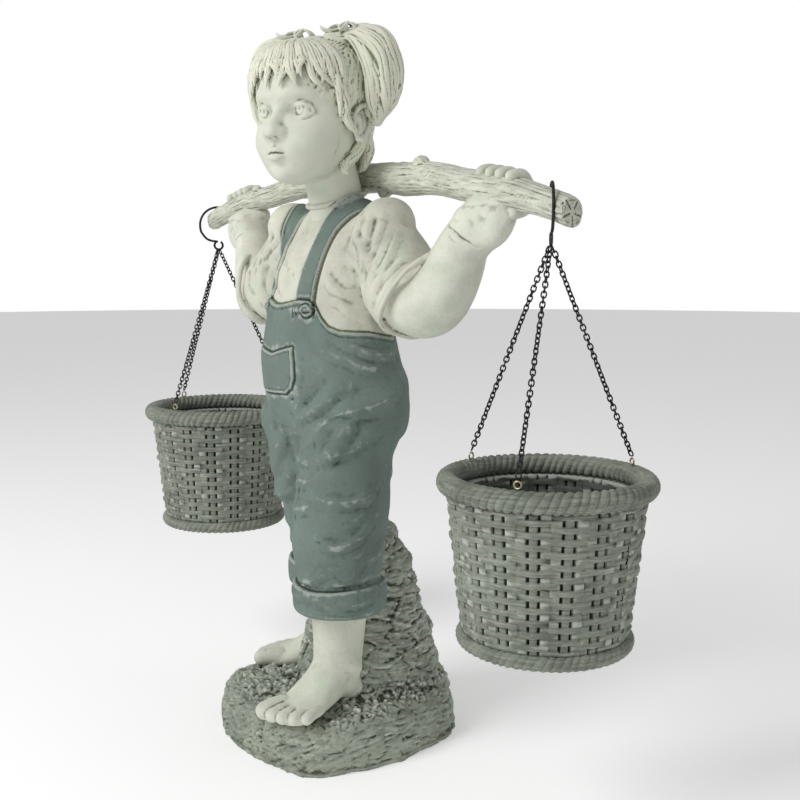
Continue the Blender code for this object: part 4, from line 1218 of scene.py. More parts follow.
# Folds of the overalls as points on the cloth, the half width and the height; below 0 is a crease
FOLDS = [
    ([(50, -52, 360), (60, -43, 355), (65, -37, 352), (69, -28, 347), (73, -18, 345), (75, -10, 350)], 3.4, 2.6),
    ([(60, -38, 366), (65, -30, 364), (68, -25, 360), (71, -17, 357), (72, -6, 356), (69, 8, 356),
      (64, 22, 360)], 3.2, 2.2),
    ([(70, 24, 348), (71, 9, 337), (73, 2, 328), (75, -9, 319), (73, -20, 315), (67, -31, 312), (61, -39, 309),
      (54, -46, 304), (46, -54, 296), (38, -60, 290)], 4.4, 3.6),
    ([(64, -38, 330), (57, -46, 327), (51, -51, 319), (42, -55, 312), (35, -57, 308), (27, -59, 305),
      (14, -61, 299)], 3.4, 2.8),
    ([(70, -24, 312), (66, -36, 302), (65, -42, 293), (63, -48, 284), (58, -53, 275), (53, -58, 271), (44, -62, 268),
      (20, -60, 264)], 4.4, 3.8),
    ([(50, -58, 271), (56, -55, 271), (61, -50, 273), (66, -43, 274), (71, -35, 278), (75, -24, 284),
      (78, -8, 296)], 3.6, 2.6),
    ([(16, -58, 268), (2, -55, 262), (-8, -51, 251), (-22, -46, 240), (-32, -42, 226)], 4.2, 2.8),
    ([(16, -59, 264), (35, -63, 262), (42, -62, 261)], 2.6, 1.6),
    ([(44, -64, 247), (26, -64, 247), (8, -62, 240), (-6, -52, 232)], 3.2, 2.0),
    ([(56, -58, 234), (65, -52, 233), (69, -46, 233), (73, -38, 234), (75, -28, 236), (77, -16, 244),
      (78, -2, 256)], 3.8, 3.2),
    ([(58, -62, 202), (62, -60, 197), (66, -55, 195), (70, -50, 196), (73, -44, 198), (75, -38, 201), (77, -32, 206),
      (78, -20, 218)], 3.4, 2.2),
    ([(26, -68, 158), (35, -67, 161), (44, -65, 163), (53, -63, 168), (60, -58, 174)], 3.4, 1.8),
    ([(75, -41, 184), (73, -42, 172), (68, -48, 163)], 4.6, 2.2),
    ([(8, -60, 150), (24, -69, 146), (44, -69, 150), (60, -58, 148)], 3.0, 1.6),
    ([(30, -70, 137), (48, -67, 140), (66, -52, 137), (74, -36, 140)], 2.6, -1.5),
    ([(66, -54, 150), (73, -38, 144), (76, -22, 150)], 3.0, 1.6),
    ([(77, -28, 181), (76, -20, 181), (73, -8, 184), (68, 6, 192)], 3.4, 2.4),
    ([(14, -63, 326), (20, -64, 322), (23, -62, 316), (18, -62, 306)], 3.0, 2.0),
    ([(46, -66, 228), (36, -67, 225), (14, -64, 219)], 3.2, 1.8),
    ([(-14, -56, 282), (3, -60, 283), (16, -60, 286)], 3.0, 1.6),
    ([(60, -20, 394), (66, -14, 380), (70, -6, 366)], 4.0, 1.2),
    ([(20, -60, 296), (16, -60, 284), (12, -57, 268), (15, -59, 254), (22, -63, 242), (24, -66, 224),
      (20, -64, 206)], 2.2, -2.6),
    ([(66, -52, 240), (71, -44, 238), (74, -38, 241), (77, -32, 244), (78, -25, 245), (79, -16, 251)], 2.4, -2.6),
    ([(-14, -57, 292), (-4, -60, 290), (5, -60, 289), (14, -60, 287)], 1.8, -1.8),
    ([(23, -67, 362), (23, -66, 348), (23, -65, 337), (20, -65, 326)], 1.6, -2.2),
    ([(66, 14, 352), (67, 17, 338), (69, 18, 325)], 2.0, -2.8),
    ([(58, -63, 203), (63, -59, 202), (69, -52, 202), (74, -44, 204), (76, -33, 214), (78, -20, 228)], 2.4, -2.6),
    ([(24, -62, 318), (31, -60, 316), (38, -57, 321), (48, -52, 332)], 3.0, -2.4),
    ([(60, -40, 372), (67, -24, 364), (71, -8, 362), (68, 8, 364)], 2.4, -2.0),
    ([(60, -52, 290), (56, -56, 284), (50, -60, 278), (42, -63, 274)], 3.2, -2.6),
    ([(72, -34, 296), (68, -42, 286), (64, -50, 278)], 2.6, -2.2),
    # Her right leg, side and back
    ([(-6, -62, 300), (-20, -58, 272), (-36, -50, 250), (-56, -38, 240)], 4.6, 2.8),
    ([(-74, -10, 330), (-66, -34, 312), (-50, -48, 290), (-30, -54, 272)], 4.6, 3.0),
    ([(-77, 8, 300), (-74, -20, 282), (-62, -36, 264)], 4.4, 2.8),
    ([(-76, 4, 236), (-64, -26, 222), (-40, -38, 222), (-20, -36, 232)], 4.2, 2.8),
    ([(-78, 10, 204), (-68, -18, 192), (-46, -30, 192)], 4.2, 2.8),
    ([(-74, 0, 176), (-60, -22, 170), (-38, -28, 178)], 3.8, 2.2),
    ([(-70, 20, 350), (-72, -12, 346), (-64, -36, 352)], 3.6, 2.4),
    ([(0, 46, 320), (-4, 40, 290), (-2, 34, 262)], 3.0, -3.0),
    ([(8, 46, 286), (30, 50, 276), (54, 40, 278), (70, 22, 290)], 5.0, 3.2),
    ([(-8, 46, 286), (-30, 50, 276), (-54, 42, 280), (-70, 24, 292)], 5.0, 3.2),
    ([(14, 36, 252), (36, 34, 244), (58, 20, 246), (72, 4, 256)], 4.4, 2.8),
    ([(-10, 40, 250), (-34, 42, 238), (-58, 32, 238), (-74, 14, 250)], 4.4, 2.8),
    ([(20, 18, 200), (40, 16, 192), (60, 6, 198)], 4.0, 2.6),
    ([(-20, 48, 206), (-42, 50, 194), (-64, 40, 198)], 4.0, 2.6),
    ([(40, 48, 352), (20, 54, 346), (-2, 52, 348)], 4.0, 1.6),
    ([(-46, 46, 356), (-24, 54, 350), (-6, 54, 356)], 4.0, 1.6),
]
# Folds of the shirt and of her left sleeve; the sleeve's are mirrored to her right one
SHIRT_FOLDS = [
    ([(-62, -28, 458), (-54, -32, 449), (-30, -42, 440), (-12, -48, 434)], 3.0, -1.8),
    ([(-66, -28, 418), (-30, -50, 412), (-10, -56, 405)], 3.0, -1.6),
    ([(-44, -36, 444), (-6, -49, 434), (10, -52, 426)], 3.4, 1.3),
    ([(-14, -40, 470), (-4, -46, 452), (2, -52, 430)], 5.0, 1.0),
    ([(12, -38, 466), (10, -46, 444), (6, -54, 420)], 4.0, -0.8),
]
SLEEVE_FOLDS = [
    ([(58, -14, 480), (54, -22, 468), (49, -28, 455), (49, -31, 448), (54, -32, 442), (64, -33, 435),
      (74, -36, 428)], 2.4, -2.8),
    ([(56, -20, 470), (62, -28, 456), (72, -32, 449), (82, -33, 441), (88, -33, 434)], 2.8, 2.6),
    ([(60, -30, 452), (66, -33, 445), (69, -33, 438)], 1.8, -1.8),
    ([(50, -34, 434), (56, -33, 429), (64, -30, 425)], 2.0, -2.2),
    ([(40, -42, 429), (46, -39, 421), (54, -34, 414), (66, -28, 410)], 2.4, -3.2),
    ([(39, -44, 424), (46, -41, 414), (54, -36, 409), (66, -28, 404)], 2.6, 2.4),
    ([(52, -38, 407), (58, -32, 401), (66, -24, 396)], 2.2, -2.2),
    ([(46, -44, 404), (54, -38, 400), (60, -32, 392)], 2.6, 1.6),
    ([(68, -8, 478), (76, -20, 466), (79, -28, 455), (80, -32, 446)], 2.0, -2.4),
    ([(92, -10, 460), (99, -22, 447), (100, -30, 437), (98, -36, 428)], 2.0, -2.4),
    ([(68, -16, 474), (75, -28, 455), (79, -34, 440), (78, -37, 427), (80, -38, 412), (78, -34, 398)], 3.0, 3.0),
    ([(82, -16, 468), (87, -27, 452), (86, -33, 440), (84, -37, 426)], 2.4, 2.2),
    ([(94, -8, 462), (101, -21, 447), (106, -33, 433), (104, -40, 421), (98, -42, 407), (88, -38, 394)], 2.8, 2.6),
    ([(118, -12, 446), (112, -24, 440), (108, -33, 432), (98, -40, 420)], 1.6, -2.0),
    ([(126, -10, 446), (116, -21, 438), (114, -28, 433), (111, -36, 426), (106, -41, 417), (99, -43, 407)], 2.2, 2.0),
]
# The middle of each strap's button
BUTTONS = {1: (30.5, -63, 394), -1: (-50, -48, 393)}
# The deep fold of her left sleeve at the elbow
ELBOW_FOLD = [(140, -23, 430), (129, -28, 422), (126, -34, 412), (121, -37, 402), (113, -37, 391), (104, -30, 381)]
# Creases of her left wrist and hand, with the half width and the height
HAND_CREASES = [
    ([(156, -12, 466), (163, -14, 462), (170, -12, 457), (177, -7, 451), (183, 0, 446)], 1.3, -1.1),
    ([(161, -14, 457), (168, -12, 451), (175, -7, 446)], 1.2, -0.3),
    ([(164, -10, 485), (174, -14, 482), (186, -14, 480), (200, -11, 479), (212, -5, 477)], 4.6, -2.4),
    ([(176, -14, 472), (188, -12, 469), (198, -6, 466)], 3.6, -0.8),
]
# The hem of her left sleeve
HEM_RADIUS = 2.6
SLEEVE_HEM = [(144, 0, 446), (140, -14, 440), (131, -26, 430), (124, -33, 419), (117, -38, 407), (109, -38, 394),
              (102, -31, 384), (101, -17, 377), (107, 0, 374), (114, 14, 381), (121, 23, 399), (132, 20, 424),
              (142, 10, 442)]


def pocket_edge():
    return [(-42, -57, 360), (-8, -68, 356), (11, -69, 361), (20, -67, 363), (21.5, -67, 350), (21, -66, 336),
            (18, -65, 327), (9, -66, 322), (-8, -66, 321), (-32, -61, 320), (-41, -57, 323), (-43, -56, 344),
            (-42, -57, 360)]


def in_outline(points, outline):
    """How far inside a closed outline in X and Z the points lie, below 0 outside."""
    corners = np.array([(x, z) for x, _, z in outline])
    flat = points[:, [0, 2]]
    inside = np.zeros(len(points), bool)
    nearest = np.full(len(points), 1e9)
    for a, b in zip(corners, np.roll(corners, -1, 0)):
        if np.allclose(a, b):
            continue
        crosses = ((a[1] > flat[:, 1]) != (b[1] > flat[:, 1]))
        slope = (b[0] - a[0]) / (b[1] - a[1]) if a[1] != b[1] else 0.0
        inside ^= crosses & (flat[:, 0] < a[0] + (flat[:, 1] - a[1]) * slope)
        t = np.clip((flat - a) @ (b - a) / ((b - a) @ (b - a)), 0, 1)
        nearest = np.minimum(nearest, np.linalg.norm(flat - (a + t[:, None] * (b - a)), axis=1))
    return np.where(inside, nearest, -nearest)


def strap_layer(points, side, half):
    """Distance from the middle of a strap and the share along it, where the strap lies on the trunk."""
    which, d, share, _, _ = Path(strap_rows(side), 6).near(points, half + 8)
    away = np.full(len(points), 99.0)
    along = np.zeros(len(points))
    right = points[which][:, 2] > 385
    away[which[right]] = d[right]
    along[which[right]] = share[right]
    return away, along


class STATUE_OT_body(bpy.types.Operator):
    """Carves her clothes, arms, hands and feet"""

    bl_idname = "statue.body"
    bl_label = "Body and clothes"

    def execute(self, context):
        sizes, paints = context.scene.carving_sizes, context.scene.stone_paints
        clay = Clay()
        trunk_forms(clay)
        for side in (-1, 1):
            arm_forms(clay, side)
        for foot in FEET:
            foot_forms(clay, foot, False)
        body = clay.skin("body", LIMB_GRAIN, 9)
        carving = Carving(body.data)
        for rows, half, height in FOLDS:
            if half > 2.9:
                carving.stroke(rows, half * 2.2, height * 0.40, bank=0.2)
        carving.apply()
        clay = Clay()
        clay.add(body)
        for side in (-1, 1):
            hand_forms(clay, side)
            hem = [(*spot, HEM_RADIUS) for spot in mirrored(side, SLEEVE_HEM)]
            clay.limb(hem + hem[:1], sides=10)
        for foot in FEET:
            foot_forms(clay, foot, True)
        for cuff in CUFFS:
            cuff_forms(clay, *cuff)
        turn = np.linspace(0, 2 * math.pi, 17)
        collar = (26.5 * np.cos(turn), -2 + 24.5 * np.sin(turn) - 2, 490 + 7.5 * np.sin(turn), HEM_RADIUS + 0 * turn)
        clay.limb(np.stack(collar, axis=1), sides=10)
        body = clay.skin("girl_body", grain(sizes.body_grain), 2)
        carving = Carving(body.data)
        self.cut_cloth(carving, sizes)
        carving.apply()
        self.cut_marks(carving, sizes)
        carving.apply()
        thin(body, "body")
        mesh = body.data
        points, _ = points_of(mesh)
        overalls = overalls_share(points)
        half = sizes.strap_width / MM / 2
        for side in (-1, 1):
            away, _ = strap_layer(points, side, half)
            overalls = np.maximum(overalls, step(-away, -half - 0.5, -half + 0.5))
        skin = np.maximum(arm_skin_share(points), step(-points[:, 2], -131.0, -129.0))
        overalls *= 1 - step(-points[:, 2], -131.0, -129.0)
        store(mesh, "shirt", np.clip(1 - skin, 0, 1))
        store(mesh, "overalls", overalls)
        store_hollows(mesh)
        layers = [(None, paints.skin), ("shirt", paints.shirt), ("overalls", paints.overalls)]
        finish = stone_finish("painted stone of the clothes", layers, paints, recess=1.0, brush=0.42, mottle=0.24,
                              green=0.35, pores=0.5, wash_and_shade_shares=(0.36, 0.40), bump=0.5)
        placed(body, finish, "cast_stone", "statue")
        return {"FINISHED"}

    def cut_cloth(self, carving, sizes):
        """Thickness of the overalls and their straps, and the folds of the overalls, the shirt and the sleeves."""
        thick = sizes.cloth / MM
        half = sizes.strap_width / MM / 2
        points = carving.points
        carving.lift += thick * overalls_share(points, 1.2)
        for side in (-1, 1):
            away, along = strap_layer(points, side, half)
            carving.lift += (thick + 0.2) * step(-away, -half - 0.6, -half + 0.6) * step(along, 0.0, 0.02)
        sleeves = [(mirrored(side, rows), half, height * 0.75)
                   for rows, half, height in SLEEVE_FOLDS for side in (-1, 1)]
        for rows, half, height in (*FOLDS, *SHIRT_FOLDS, *sleeves):
            if height > 0:
                carving.fold(rows, half * 3.9, height * 1.18)
            else:
                carving.stroke(rows, half * 1.7, height * 0.95, bank=0.15, keen=0.4)

    def cut_marks(self, carving, sizes):
        """Seams, stitched edges, the pocket, the buttons and the marks of hands and feet."""
        points = carving.points
        half = sizes.strap_width / MM / 2
        front = (points[:, 1] < -35).astype(float)
        inside = in_outline(points, pocket_edge())
        pocket = 1.3 * step(inside, -0.5, 0.6) - 0.9 * bell(inside, -1.0, 0.8) - 0.45 * bell(inside, 3.2, 0.55)
        carving.lift += front * pocket
        angle = np.degrees(np.arctan2(points[:, 0], -(points[:, 1] + 8)))
        below = bib_line(angle) - points[:, 2]
        trunk = (np.abs(points[:, 0]) < 84) & (points[:, 2] > 350)
        edge = -0.45 * bell(below, 4.0, 0.6) - 0.9 * bell(below, -1.3, 0.9) + 0.4 * bell(below, 1.6, 1.0)
        carving.lift += trunk * edge
        for side in (-1, 1):
            away, _ = strap_layer(points, side, half)
            near = (away < half + 5) & (points[:, 2] > 388)
            carving.lift += near * (-0.45 * bell(away - half, -2.6, 0.6) - 1.0 * bell(away - half, 1.4, 0.9))
            button = BUTTONS[side]
            d = np.linalg.norm((points - button)[:, [0, 2]], axis=1)
            on = (points[:, 1] < -30) & (np.abs(points[:, 1] - button[1]) < 16)
            carving.lift += on * (1.9 * step(-d, -5.4, -4.6) - 0.9 * step(-d, -3.8, -3.2) - 1.0 * bell(d, 6.3, 0.7))
            for hole in (-1.1, 1.1):
                carving.dent((button[0] + hole, button[1] - 1.5, button[2]), (0.8, 4, 0.8), -0.9)
            carving.stroke(mirrored(side, ELBOW_FOLD), 2.4, -3.0, ends=0.3)
            for crease, wide, deep in HAND_CREASES:
                carving.stroke(carving.on_skin(mirrored(side, crease)), wide, deep, bank=0.15, steps=2)
        for foot in FEET:
            for across, ahead, wide, high in TOES:
                spot = foot_place(foot, across, ahead + wide * 0.35, TOE_LEVEL + high * 0.82)
                carving.dent(spot, (wide * 0.42, wide * 0.42, 2.0), -0.5)
                nail = [foot_place(foot, across + way * wide * 0.4, ahead - 4.5, TOE_LEVEL + high) for way in (-1, 1)]
                carving.stroke(nail, 0.9, -0.6)
        turn = np.linspace(0, 2 * math.pi, 25)
        for x, y, size, low, high in CUFFS:
            round_x, round_y = x + (size + 1) * np.cos(turn), y + (size + 1) * np.sin(turn)
            for z, half, height in ((high + 1.5 + 2.5 * np.sin(2 * turn + 1), 2.0, -3.0),
                                    (low + 4.5 + 0.8 * np.sin(3 * turn), 0.8, -0.7)):
                carving.stroke(np.stack([round_x, round_y, z], axis=1), half, height, ends=0)
        carving.lift += 0.10 * lumps(points, (2.4, 2.4, 2.4), 31) + 0.35 * lumps(points, (17, 17, 17), 32)


# ---------------------------------------------------------------- branch and rock


class STATUE_OT_branch(bpy.types.Operator):
    """Carves the crooked branch, its bark, knots and cut ends"""

    bl_idname = "statue.branch"
    bl_label = "Branch"

    # Knots: place along the branch, angle round it and size
    KNOTS = ((90, 74, 6.0), (-96, 60, 5.5), (-158, 60, 4.5), (30, -70, 5.5))
    # Splits in the left end and by her shoulder, with half width and height
    SPLITS = (
        ([(248, -1, 478), (254, -2, 476.5), (262, -2.5, 474)], 1.2, -3.0),
        ([(262, 2, 484), (266, 2, 478), (266, 5, 472)], 1.0, -2.2),
        ([(84, -4, 507), (92, -5, 504), (99, -4, 503)], 1.8, -2.4),
    )

    def on_bark(self, x, angle, share):
        """A place round the branch at a share of its radius."""
        middle, r, (c, s) = branch_middle(x), float(branch_radius(x)), compass(angle)
        return (x, middle[1] - r * share * c, middle[2] + r * share * s)

    def execute(self, context):
        sizes, paints = context.scene.carving_sizes, context.scene.stone_paints
        clay = Clay()
        places = np.linspace(-BRANCH_ENDS[-1], BRANCH_ENDS[1], 34)
        turns = np.linspace(0, 2 * math.pi, 29)[:-1]
        rings = []
        for x, y, z, r in smooth_path([(*branch_middle(x), float(branch_radius(x))) for x in places], 3):
            rings.append([clay.mesh.verts.new((x, y + r * math.cos(a), z + r * math.sin(a))) for a in turns])
        clay.skin_rings(rings)
        for x, angle, size in self.KNOTS:
            clay.ball(self.on_bark(x, angle, 1.0), (size * 1.25, size, size))
        branch = clay.skin("branch", grain(sizes.branch_grain), 1)
        carving = Carving(branch.data)
        self.bark(carving)
        carving.apply()
        thin(branch, "branch")
        store_hollows(branch.data)
        finish = stone_finish("bark of pale painted stone", [(None, paints.bark)], paints, recess=0.9, brush=0.60,
                              mottle=0.26, pores=0.5, wash_and_shade_shares=(0.25, 0.45), grooves=(60.0, 330.0, 330.0), bump=0.6)
        placed(branch, finish, "cast_stone", "statue")
        return {"FINISHED"}

    def bark(self, carving):
        points = carving.points
        x = points[:, 0]
        middle = branch_middle(x)
        away = points - middle
        away[:, 0] = 0
        reach = np.linalg.norm(away, axis=1)
        around = np.arctan2(away[:, 2], away[:, 1])
        wall = np.clip(reach / branch_radius(x), 0, 1.3)
        on_wall = step(wall, 0.80, 0.93)
        along = x + 6 * np.sin(around * 2)
        round_y, round_z = 6 * np.cos(around), 6 * np.sin(around)
        fibre = grain_of(np.stack([along / 9.0, round_y * 2.2, round_z * 2.2], axis=1), (2.6,) * 3, 41, 3, ridged=True)
        flakes = grain_of(np.stack([along / 3.2, round_y * 2.0, round_z * 2.0], axis=1), (3.6,) * 3, 51, 2)
        carving.lift += on_wall * (0.42 * fibre + 0.30 * flakes + 0.5 * lumps(points, (30, 12, 12), 61))
        for knot_x, angle, size in self.KNOTS:
            d = np.linalg.norm((points - self.on_bark(knot_x, angle, 1.1)) / (1.4, 1, 1), axis=1)
            near = d < size * 2.6
            rings = 0.5 * np.cos(d * 2.1) * bell(d, 0, size * 1.2) - 1.4 * bell(d, 0, size * 0.30)
            carving.lift[near] += rings[near]
        for end in (-1, 1):
            tip = BRANCH_ENDS[end]
            face = step(x * end, tip - 1.2, tip - 0.3) * (wall < 0.97)
            rings = 0.28 * np.cos(reach * 2.6 + 0.8 * np.sin(around * 3))
            cracks = -1.5 * bell(np.sin(around * 2.5 + 0.7) * reach, 0, 1.3) * step(reach, 1.0, 4.0)
            carving.lift += face * (rings + cracks)
            rim = step(x * end, tip - 4.5, tip - 1.0) * (wall >= 0.9)
            carving.lift += rim * (0.7 * lumps(points, (3.5, 3.5, 3.5), 71) - 0.5)
        for rows, half, depth in self.SPLITS:
            carving.stroke(rows, half, depth)


# The outline of the base on the ground
PLINTH = [(-95, -72), (-62, -92), (-23, -99), (35, -97), (72, -77), (88, -35), (88, 22), (76, 66), (44, 93), (0, 105),
          (-50, 102), (-86, 72), (-102, 22), (-104, -30)]


class STATUE_OT_rock(bpy.types.Operator):
    """Carves the rock under her feet and the mound behind her"""

    bl_idname = "statue.rock"
    bl_label = "Rock"

    def execute(self, context):
        sizes, paints = context.scene.carving_sizes, context.scene.stone_paints
        clay = Clay()
        clay.slab(PLINTH, (-6, 6), [(-8, 1.0), (4, 1.01), (20, 1.0), (33, 0.965), (42, 0.90), (47, 0.72), (48, 0.4)])
        clay.stack([(1, 30, 30, 71, 74), (2, 28, 70, 59, 61), (4, 26, 105, 50, 53), (5, 24, 140, 41, 44),
                    (5, 23, 172, 33, 36), (5, 21, 200, 19, 20)], power=2.3, steps=4)
        rock = clay.skin("rock_base", grain(sizes.rock_grain), 3)
        carving = Carving(rock.data)
        self.weather(carving)
        carving.apply()
        self.chip(carving)
        carving.apply()
        self.flatten(rock.data)
        thin(rock, "rock")
        self.flatten(rock.data)
        points, _ = points_of(rock.data)
        store_hollows(rock.data, weight=step(points[:, 2], 1.5, 6.0))
        finish = stone_finish("dark painted stone of the base", [(None, paints.rock)], paints, brush=0.95, mottle=0.44,
                              green=0.30, pores=0.6, wash_and_shade_shares=(0.34, 0.62), grooves=(70.0, 70.0, 260.0), bump=0.9)
        placed(rock, finish, "cast_stone", "statue")
        return {"FINISHED"}

    def weather(self, carving):
        """Ledges that run round the mound and lumps on top of the plinth."""
        points = carving.points
        x, y, z = points.T
        around = np.arctan2(y - 24, x - 4)
        level = z + 9 * rough(points, 46, 81, 2) + 7 * np.sin(around * 1.3 + 0.6)
        mound = step(z, 50, 60)
        for width, height, seed in ((17.0, 2.3, 82), (9.0, 1.3, 88)):
            share = (level / width) % 1.0
            shelf = np.where(share < 0.78, share / 0.78, (1 - share) / 0.22)
            carving.lift += mound * height * (shelf - 0.45) * (0.55 + 0.75 * lumps(points, (21, 21, 21), seed))
        carving.lift += 1.9 * rough(points, 24, 83, 2) + mound * 0.7
        carving.lift += mound * 1.6 * clods(points * (0.8, 0.8, 1.5), 21, 85, 0.22)
        top = step(z, 40, 47) * (1 - mound)
        carving.lift += top * (1.4 * rough(points, 13, 86, 2) + 1.7 * clods(points, 13, 87, 0.2))

    def chip(self, carving):
        """Broken faces, small crumbs and brushed grooves."""
        points = carving.points
        x, y, z = points.T
        mound = step(z, 50, 62)
        side = step(-z, -42, -36)
        stretched = np.stack([x / 2.6, y / 2.6, z + 0.10 * x], axis=1)
        ledges = 0.70 * rough(stretched * (0.45, 0.45, 1), 2.6, 92, 2, ridged=True)
        carving.lift += mound * (0.32 * clods(stretched, 5.2, 91, 0.25) + ledges)
        slanted = np.stack([0.55 * (x + 0.9 * z), 0.55 * y, 0.8 * (z - 0.5 * x)], axis=1)
        grooves = 0.9 * rough(slanted * (0.4, 0.4, 1.1), 3.0, 95, 3, ridged=True)
        carving.lift += side * (0.6 * clods(slanted, 9.0, 94, 0.25) + grooves + 0.5)
        crumbs = 0.8 * rough(points * (0.6, 0.9, 1), 3.4, 98, 3, ridged=True)
        carving.lift += (1 - mound) * (1 - side) * (1.1 * clods(points, 7.0, 97, 0.2) + crumbs)
        carving.lift += 0.25 * rough(points, 3.0, 99, 1)

    def flatten(self, mesh):
        """Presses all that is below the ground up to it, so the underside is flat."""
        points, _ = points_of(mesh)
        points[:, 2] = np.maximum(points[:, 2], 0.0)
        move_points(mesh, points)


# ---------------------------------------------------------------- baskets


class STATUE_OT_baskets(bpy.types.Operator):
    """Weaves one basket and hangs it on both sides"""

    bl_idname = "statue.baskets"
    bl_label = "Woven baskets"

    # Radius at the foot and at the rim, and the height
    FOOT, RIM, HIGH = 67.0, 82.5, 132.0
    RIM_ROLL, FOOT_ROLL = 8.2, 6.2
    # The lower and upper end of the wall's two faces, and the direction of the outer one
    OUTER = (61.9, 11.5), (73.2, 116.5)
    INNER = (65.6, 116.0), (54.0, 14.5)
    SLOPE = (0.994, -0.107)
    UNDERSIDE, FLOOR = 1.2, 9.0
    TURNED = {1: 7, -1: 61}
    # Length of a face of the outer wall in millimetres, and faces round the basket
    GRAIN, ROUND = 0.62, 620

    def profile(self, fine):
        """Rows of radius, height, direction out (2), kind and angle, from the underside's middle to the floor's."""
        rows = [(r, self.UNDERSIDE, 0, -1, "plain", 0.0) for r in (0.0, *np.linspace(10, self.FOOT - 12, 7))]

        def roll(kind, centre, size, first, last, least):
            for a in np.linspace(first, last, max(least, int(size / fine))):
                rows.append((*centre, *compass(a), kind, math.radians(a)))

        def wall(kind, ends, out, size):
            (r, z), (end_r, end_z) = ends
            for t in np.linspace(0, 1, int(size / fine)):
                rows.append((r + t * (end_r - r), z + t * (end_z - z), *out, kind, 0.0))

        roll("foot", (self.FOOT - self.FOOT_ROLL, self.FOOT_ROLL), 27, -150, 62, 12)
        wall("outer", self.OUTER, self.SLOPE, 105)
        roll("rim", (self.RIM - self.RIM_ROLL, self.HIGH - self.RIM_ROLL), 52, -72, 250, 20)
        wall("inner", self.INNER, (-self.SLOPE[0], -self.SLOPE[1]), 75)
        rows += [(r, self.FLOOR, 0, 1, "floor", 0.0) for r in np.linspace(52, 6, 14)]
        rows.append((0.0, self.FLOOR, 0, 1, "plain", 0.0))
        return rows

    def weave(self, turn, z, sizes):
        """Height of the woven wall: flat bands that pass over one stake and behind the next."""
        column = turn * sizes.stakes / (2 * math.pi)
        near = np.round(column)
        across = (column - near) * (2 * math.pi * 68.0 / sizes.stakes)
        z = z + 0.35 * np.sin(column * 1.7) + 0.25 * np.sin(column * 4.3 + 1)
        row_high = sizes.row / MM
        row = np.floor(z / row_high)
        up = z / row_high - row - 0.5
        behind = (row + near) % 2
        half = sizes.stake_width / MM / 2
        window = behind * step(-np.abs(across), -half - 2.4, -half - 1.2)
        wobble = np.sin(row * 2.4 + near * 0.9) + 0.7 * np.sin(row * 5.1 - near * 2.3)
        body = np.clip(1 - np.abs(up / 0.5) ** 4, 0, 1)
        fibres = 0.12 * np.cos(up * 26 + 2 * np.sin(column * 2 + row)) + 0.08 * np.cos(up * 47 + row)
        over = (1 - behind) * bell(across, 0, 6.5) + 0.35 * wobble
        band = sizes.weave / MM * over + 0.75 * body ** 0.5 + fibres * body + 0.3
        band = band * (1 - window) - 2.6 * window
        stake = 0.2 + 0.9 * np.clip(1 - np.abs(across / half) ** 3, 0, 1) ** 0.5 - 0.5 * np.abs(up)
        return np.maximum(band, np.where(np.abs(across) < half, stake, -3.0))

    def rope(self, turn, angle, strands, turns, roll, depth):
        """Radius of a twisted rope's section."""
        phase = strands * turn - turns * angle + 0.6 * np.sin(turn * 9) + 0.45 * np.sin(turn * 23 + 1)
        bead = np.abs(np.cos(phase / 2)) ** 0.55
        fibres = 0.14 * np.cos(phase * 3 + 0.6) + 0.07 * np.cos(phase * 5)
        return roll - depth + depth * bead + fibres * bead

    def execute(self, context):
        sizes, paints = context.scene.basket_sizes, context.scene.stone_paints
        coarser = 1.0
        rows = self.profile(self.GRAIN * coarser)
        last = len(rows) - 1
        deselect()
        bpy.ops.mesh.primitive_grid_add(x_subdivisions=int(self.ROUND / coarser), y_subdivisions=last, size=1.0)
        first = bpy.context.object
        first.name = "basket_weave"
        mesh = first.data
        sheet = np.zeros(len(mesh.vertices) * 3)
        mesh.vertices.foreach_get("co", sheet)
        sheet = sheet.reshape(-1, 3)
        turn = (sheet[:, 0] + 0.5) * 2 * math.pi
        number = np.rint((sheet[:, 1] + 0.5) * last).astype(int)
        radius, height, out, upward = np.array([row[:4] for row in rows])[number].T
        kind = np.array([row[4] for row in rows])[number]
        angle = np.array([row[5] for row in rows])[number]
        outer, inner, rim, foot, floor = (kind == name for name in ("outer", "inner", "rim", "foot", "floor"))
        lift = np.zeros(len(turn))
        fade = step(height, 10, 15) * step(-height, -118, -113)
        lift[outer] = (self.weave(turn, height - 11.0, sizes) * fade)[outer]
        lift[inner] = (0.62 * self.weave(turn + math.pi / sizes.stakes, height - 11.0, sizes))[inner]
        lift[rim] = self.rope(turn, angle, sizes.strands, 3, self.RIM_ROLL, 1.9)[rim]
        lift[foot] = self.rope(turn, angle, sizes.strands - 8, 3, self.FOOT_ROLL, 1.4)[foot]
        lift[floor] = (0.5 * np.cos(turn * sizes.stakes) * np.cos(radius * 0.9))[floor]
        wide = radius + out * lift
        points = np.stack([wide * np.cos(turn), wide * np.sin(turn), height + upward * lift], axis=1)
        points[:, 2] = np.maximum(points[:, 2], 0.0)
        away = np.stack([np.cos(turn), np.sin(turn), 0 * turn], axis=1)
        points += 0.22 * lumps(points, (7, 7, 7), 131)[:, None] * away * (radius > 1)[:, None]
        reach = np.hypot(points[:, 0], points[:, 1])
        points[:, :2] *= np.minimum(1.0, (self.RIM - 0.02) / np.maximum(reach, 1e-6))[:, None]
        points[:, 2] = np.clip(points[:, 2], 0.0, self.HIGH - 0.02)
        points[number == 0] = (0, 0, self.UNDERSIDE)
        points[number == last] = (0, 0, self.FLOOR)
        move_points(mesh, points)
        only(first)
        bpy.ops.object.mode_set(mode="EDIT")
        bpy.ops.mesh.select_all(action="SELECT")
        bpy.ops.mesh.remove_doubles(threshold=0.00001)
        bpy.ops.mesh.normals_make_consistent(inside=False)
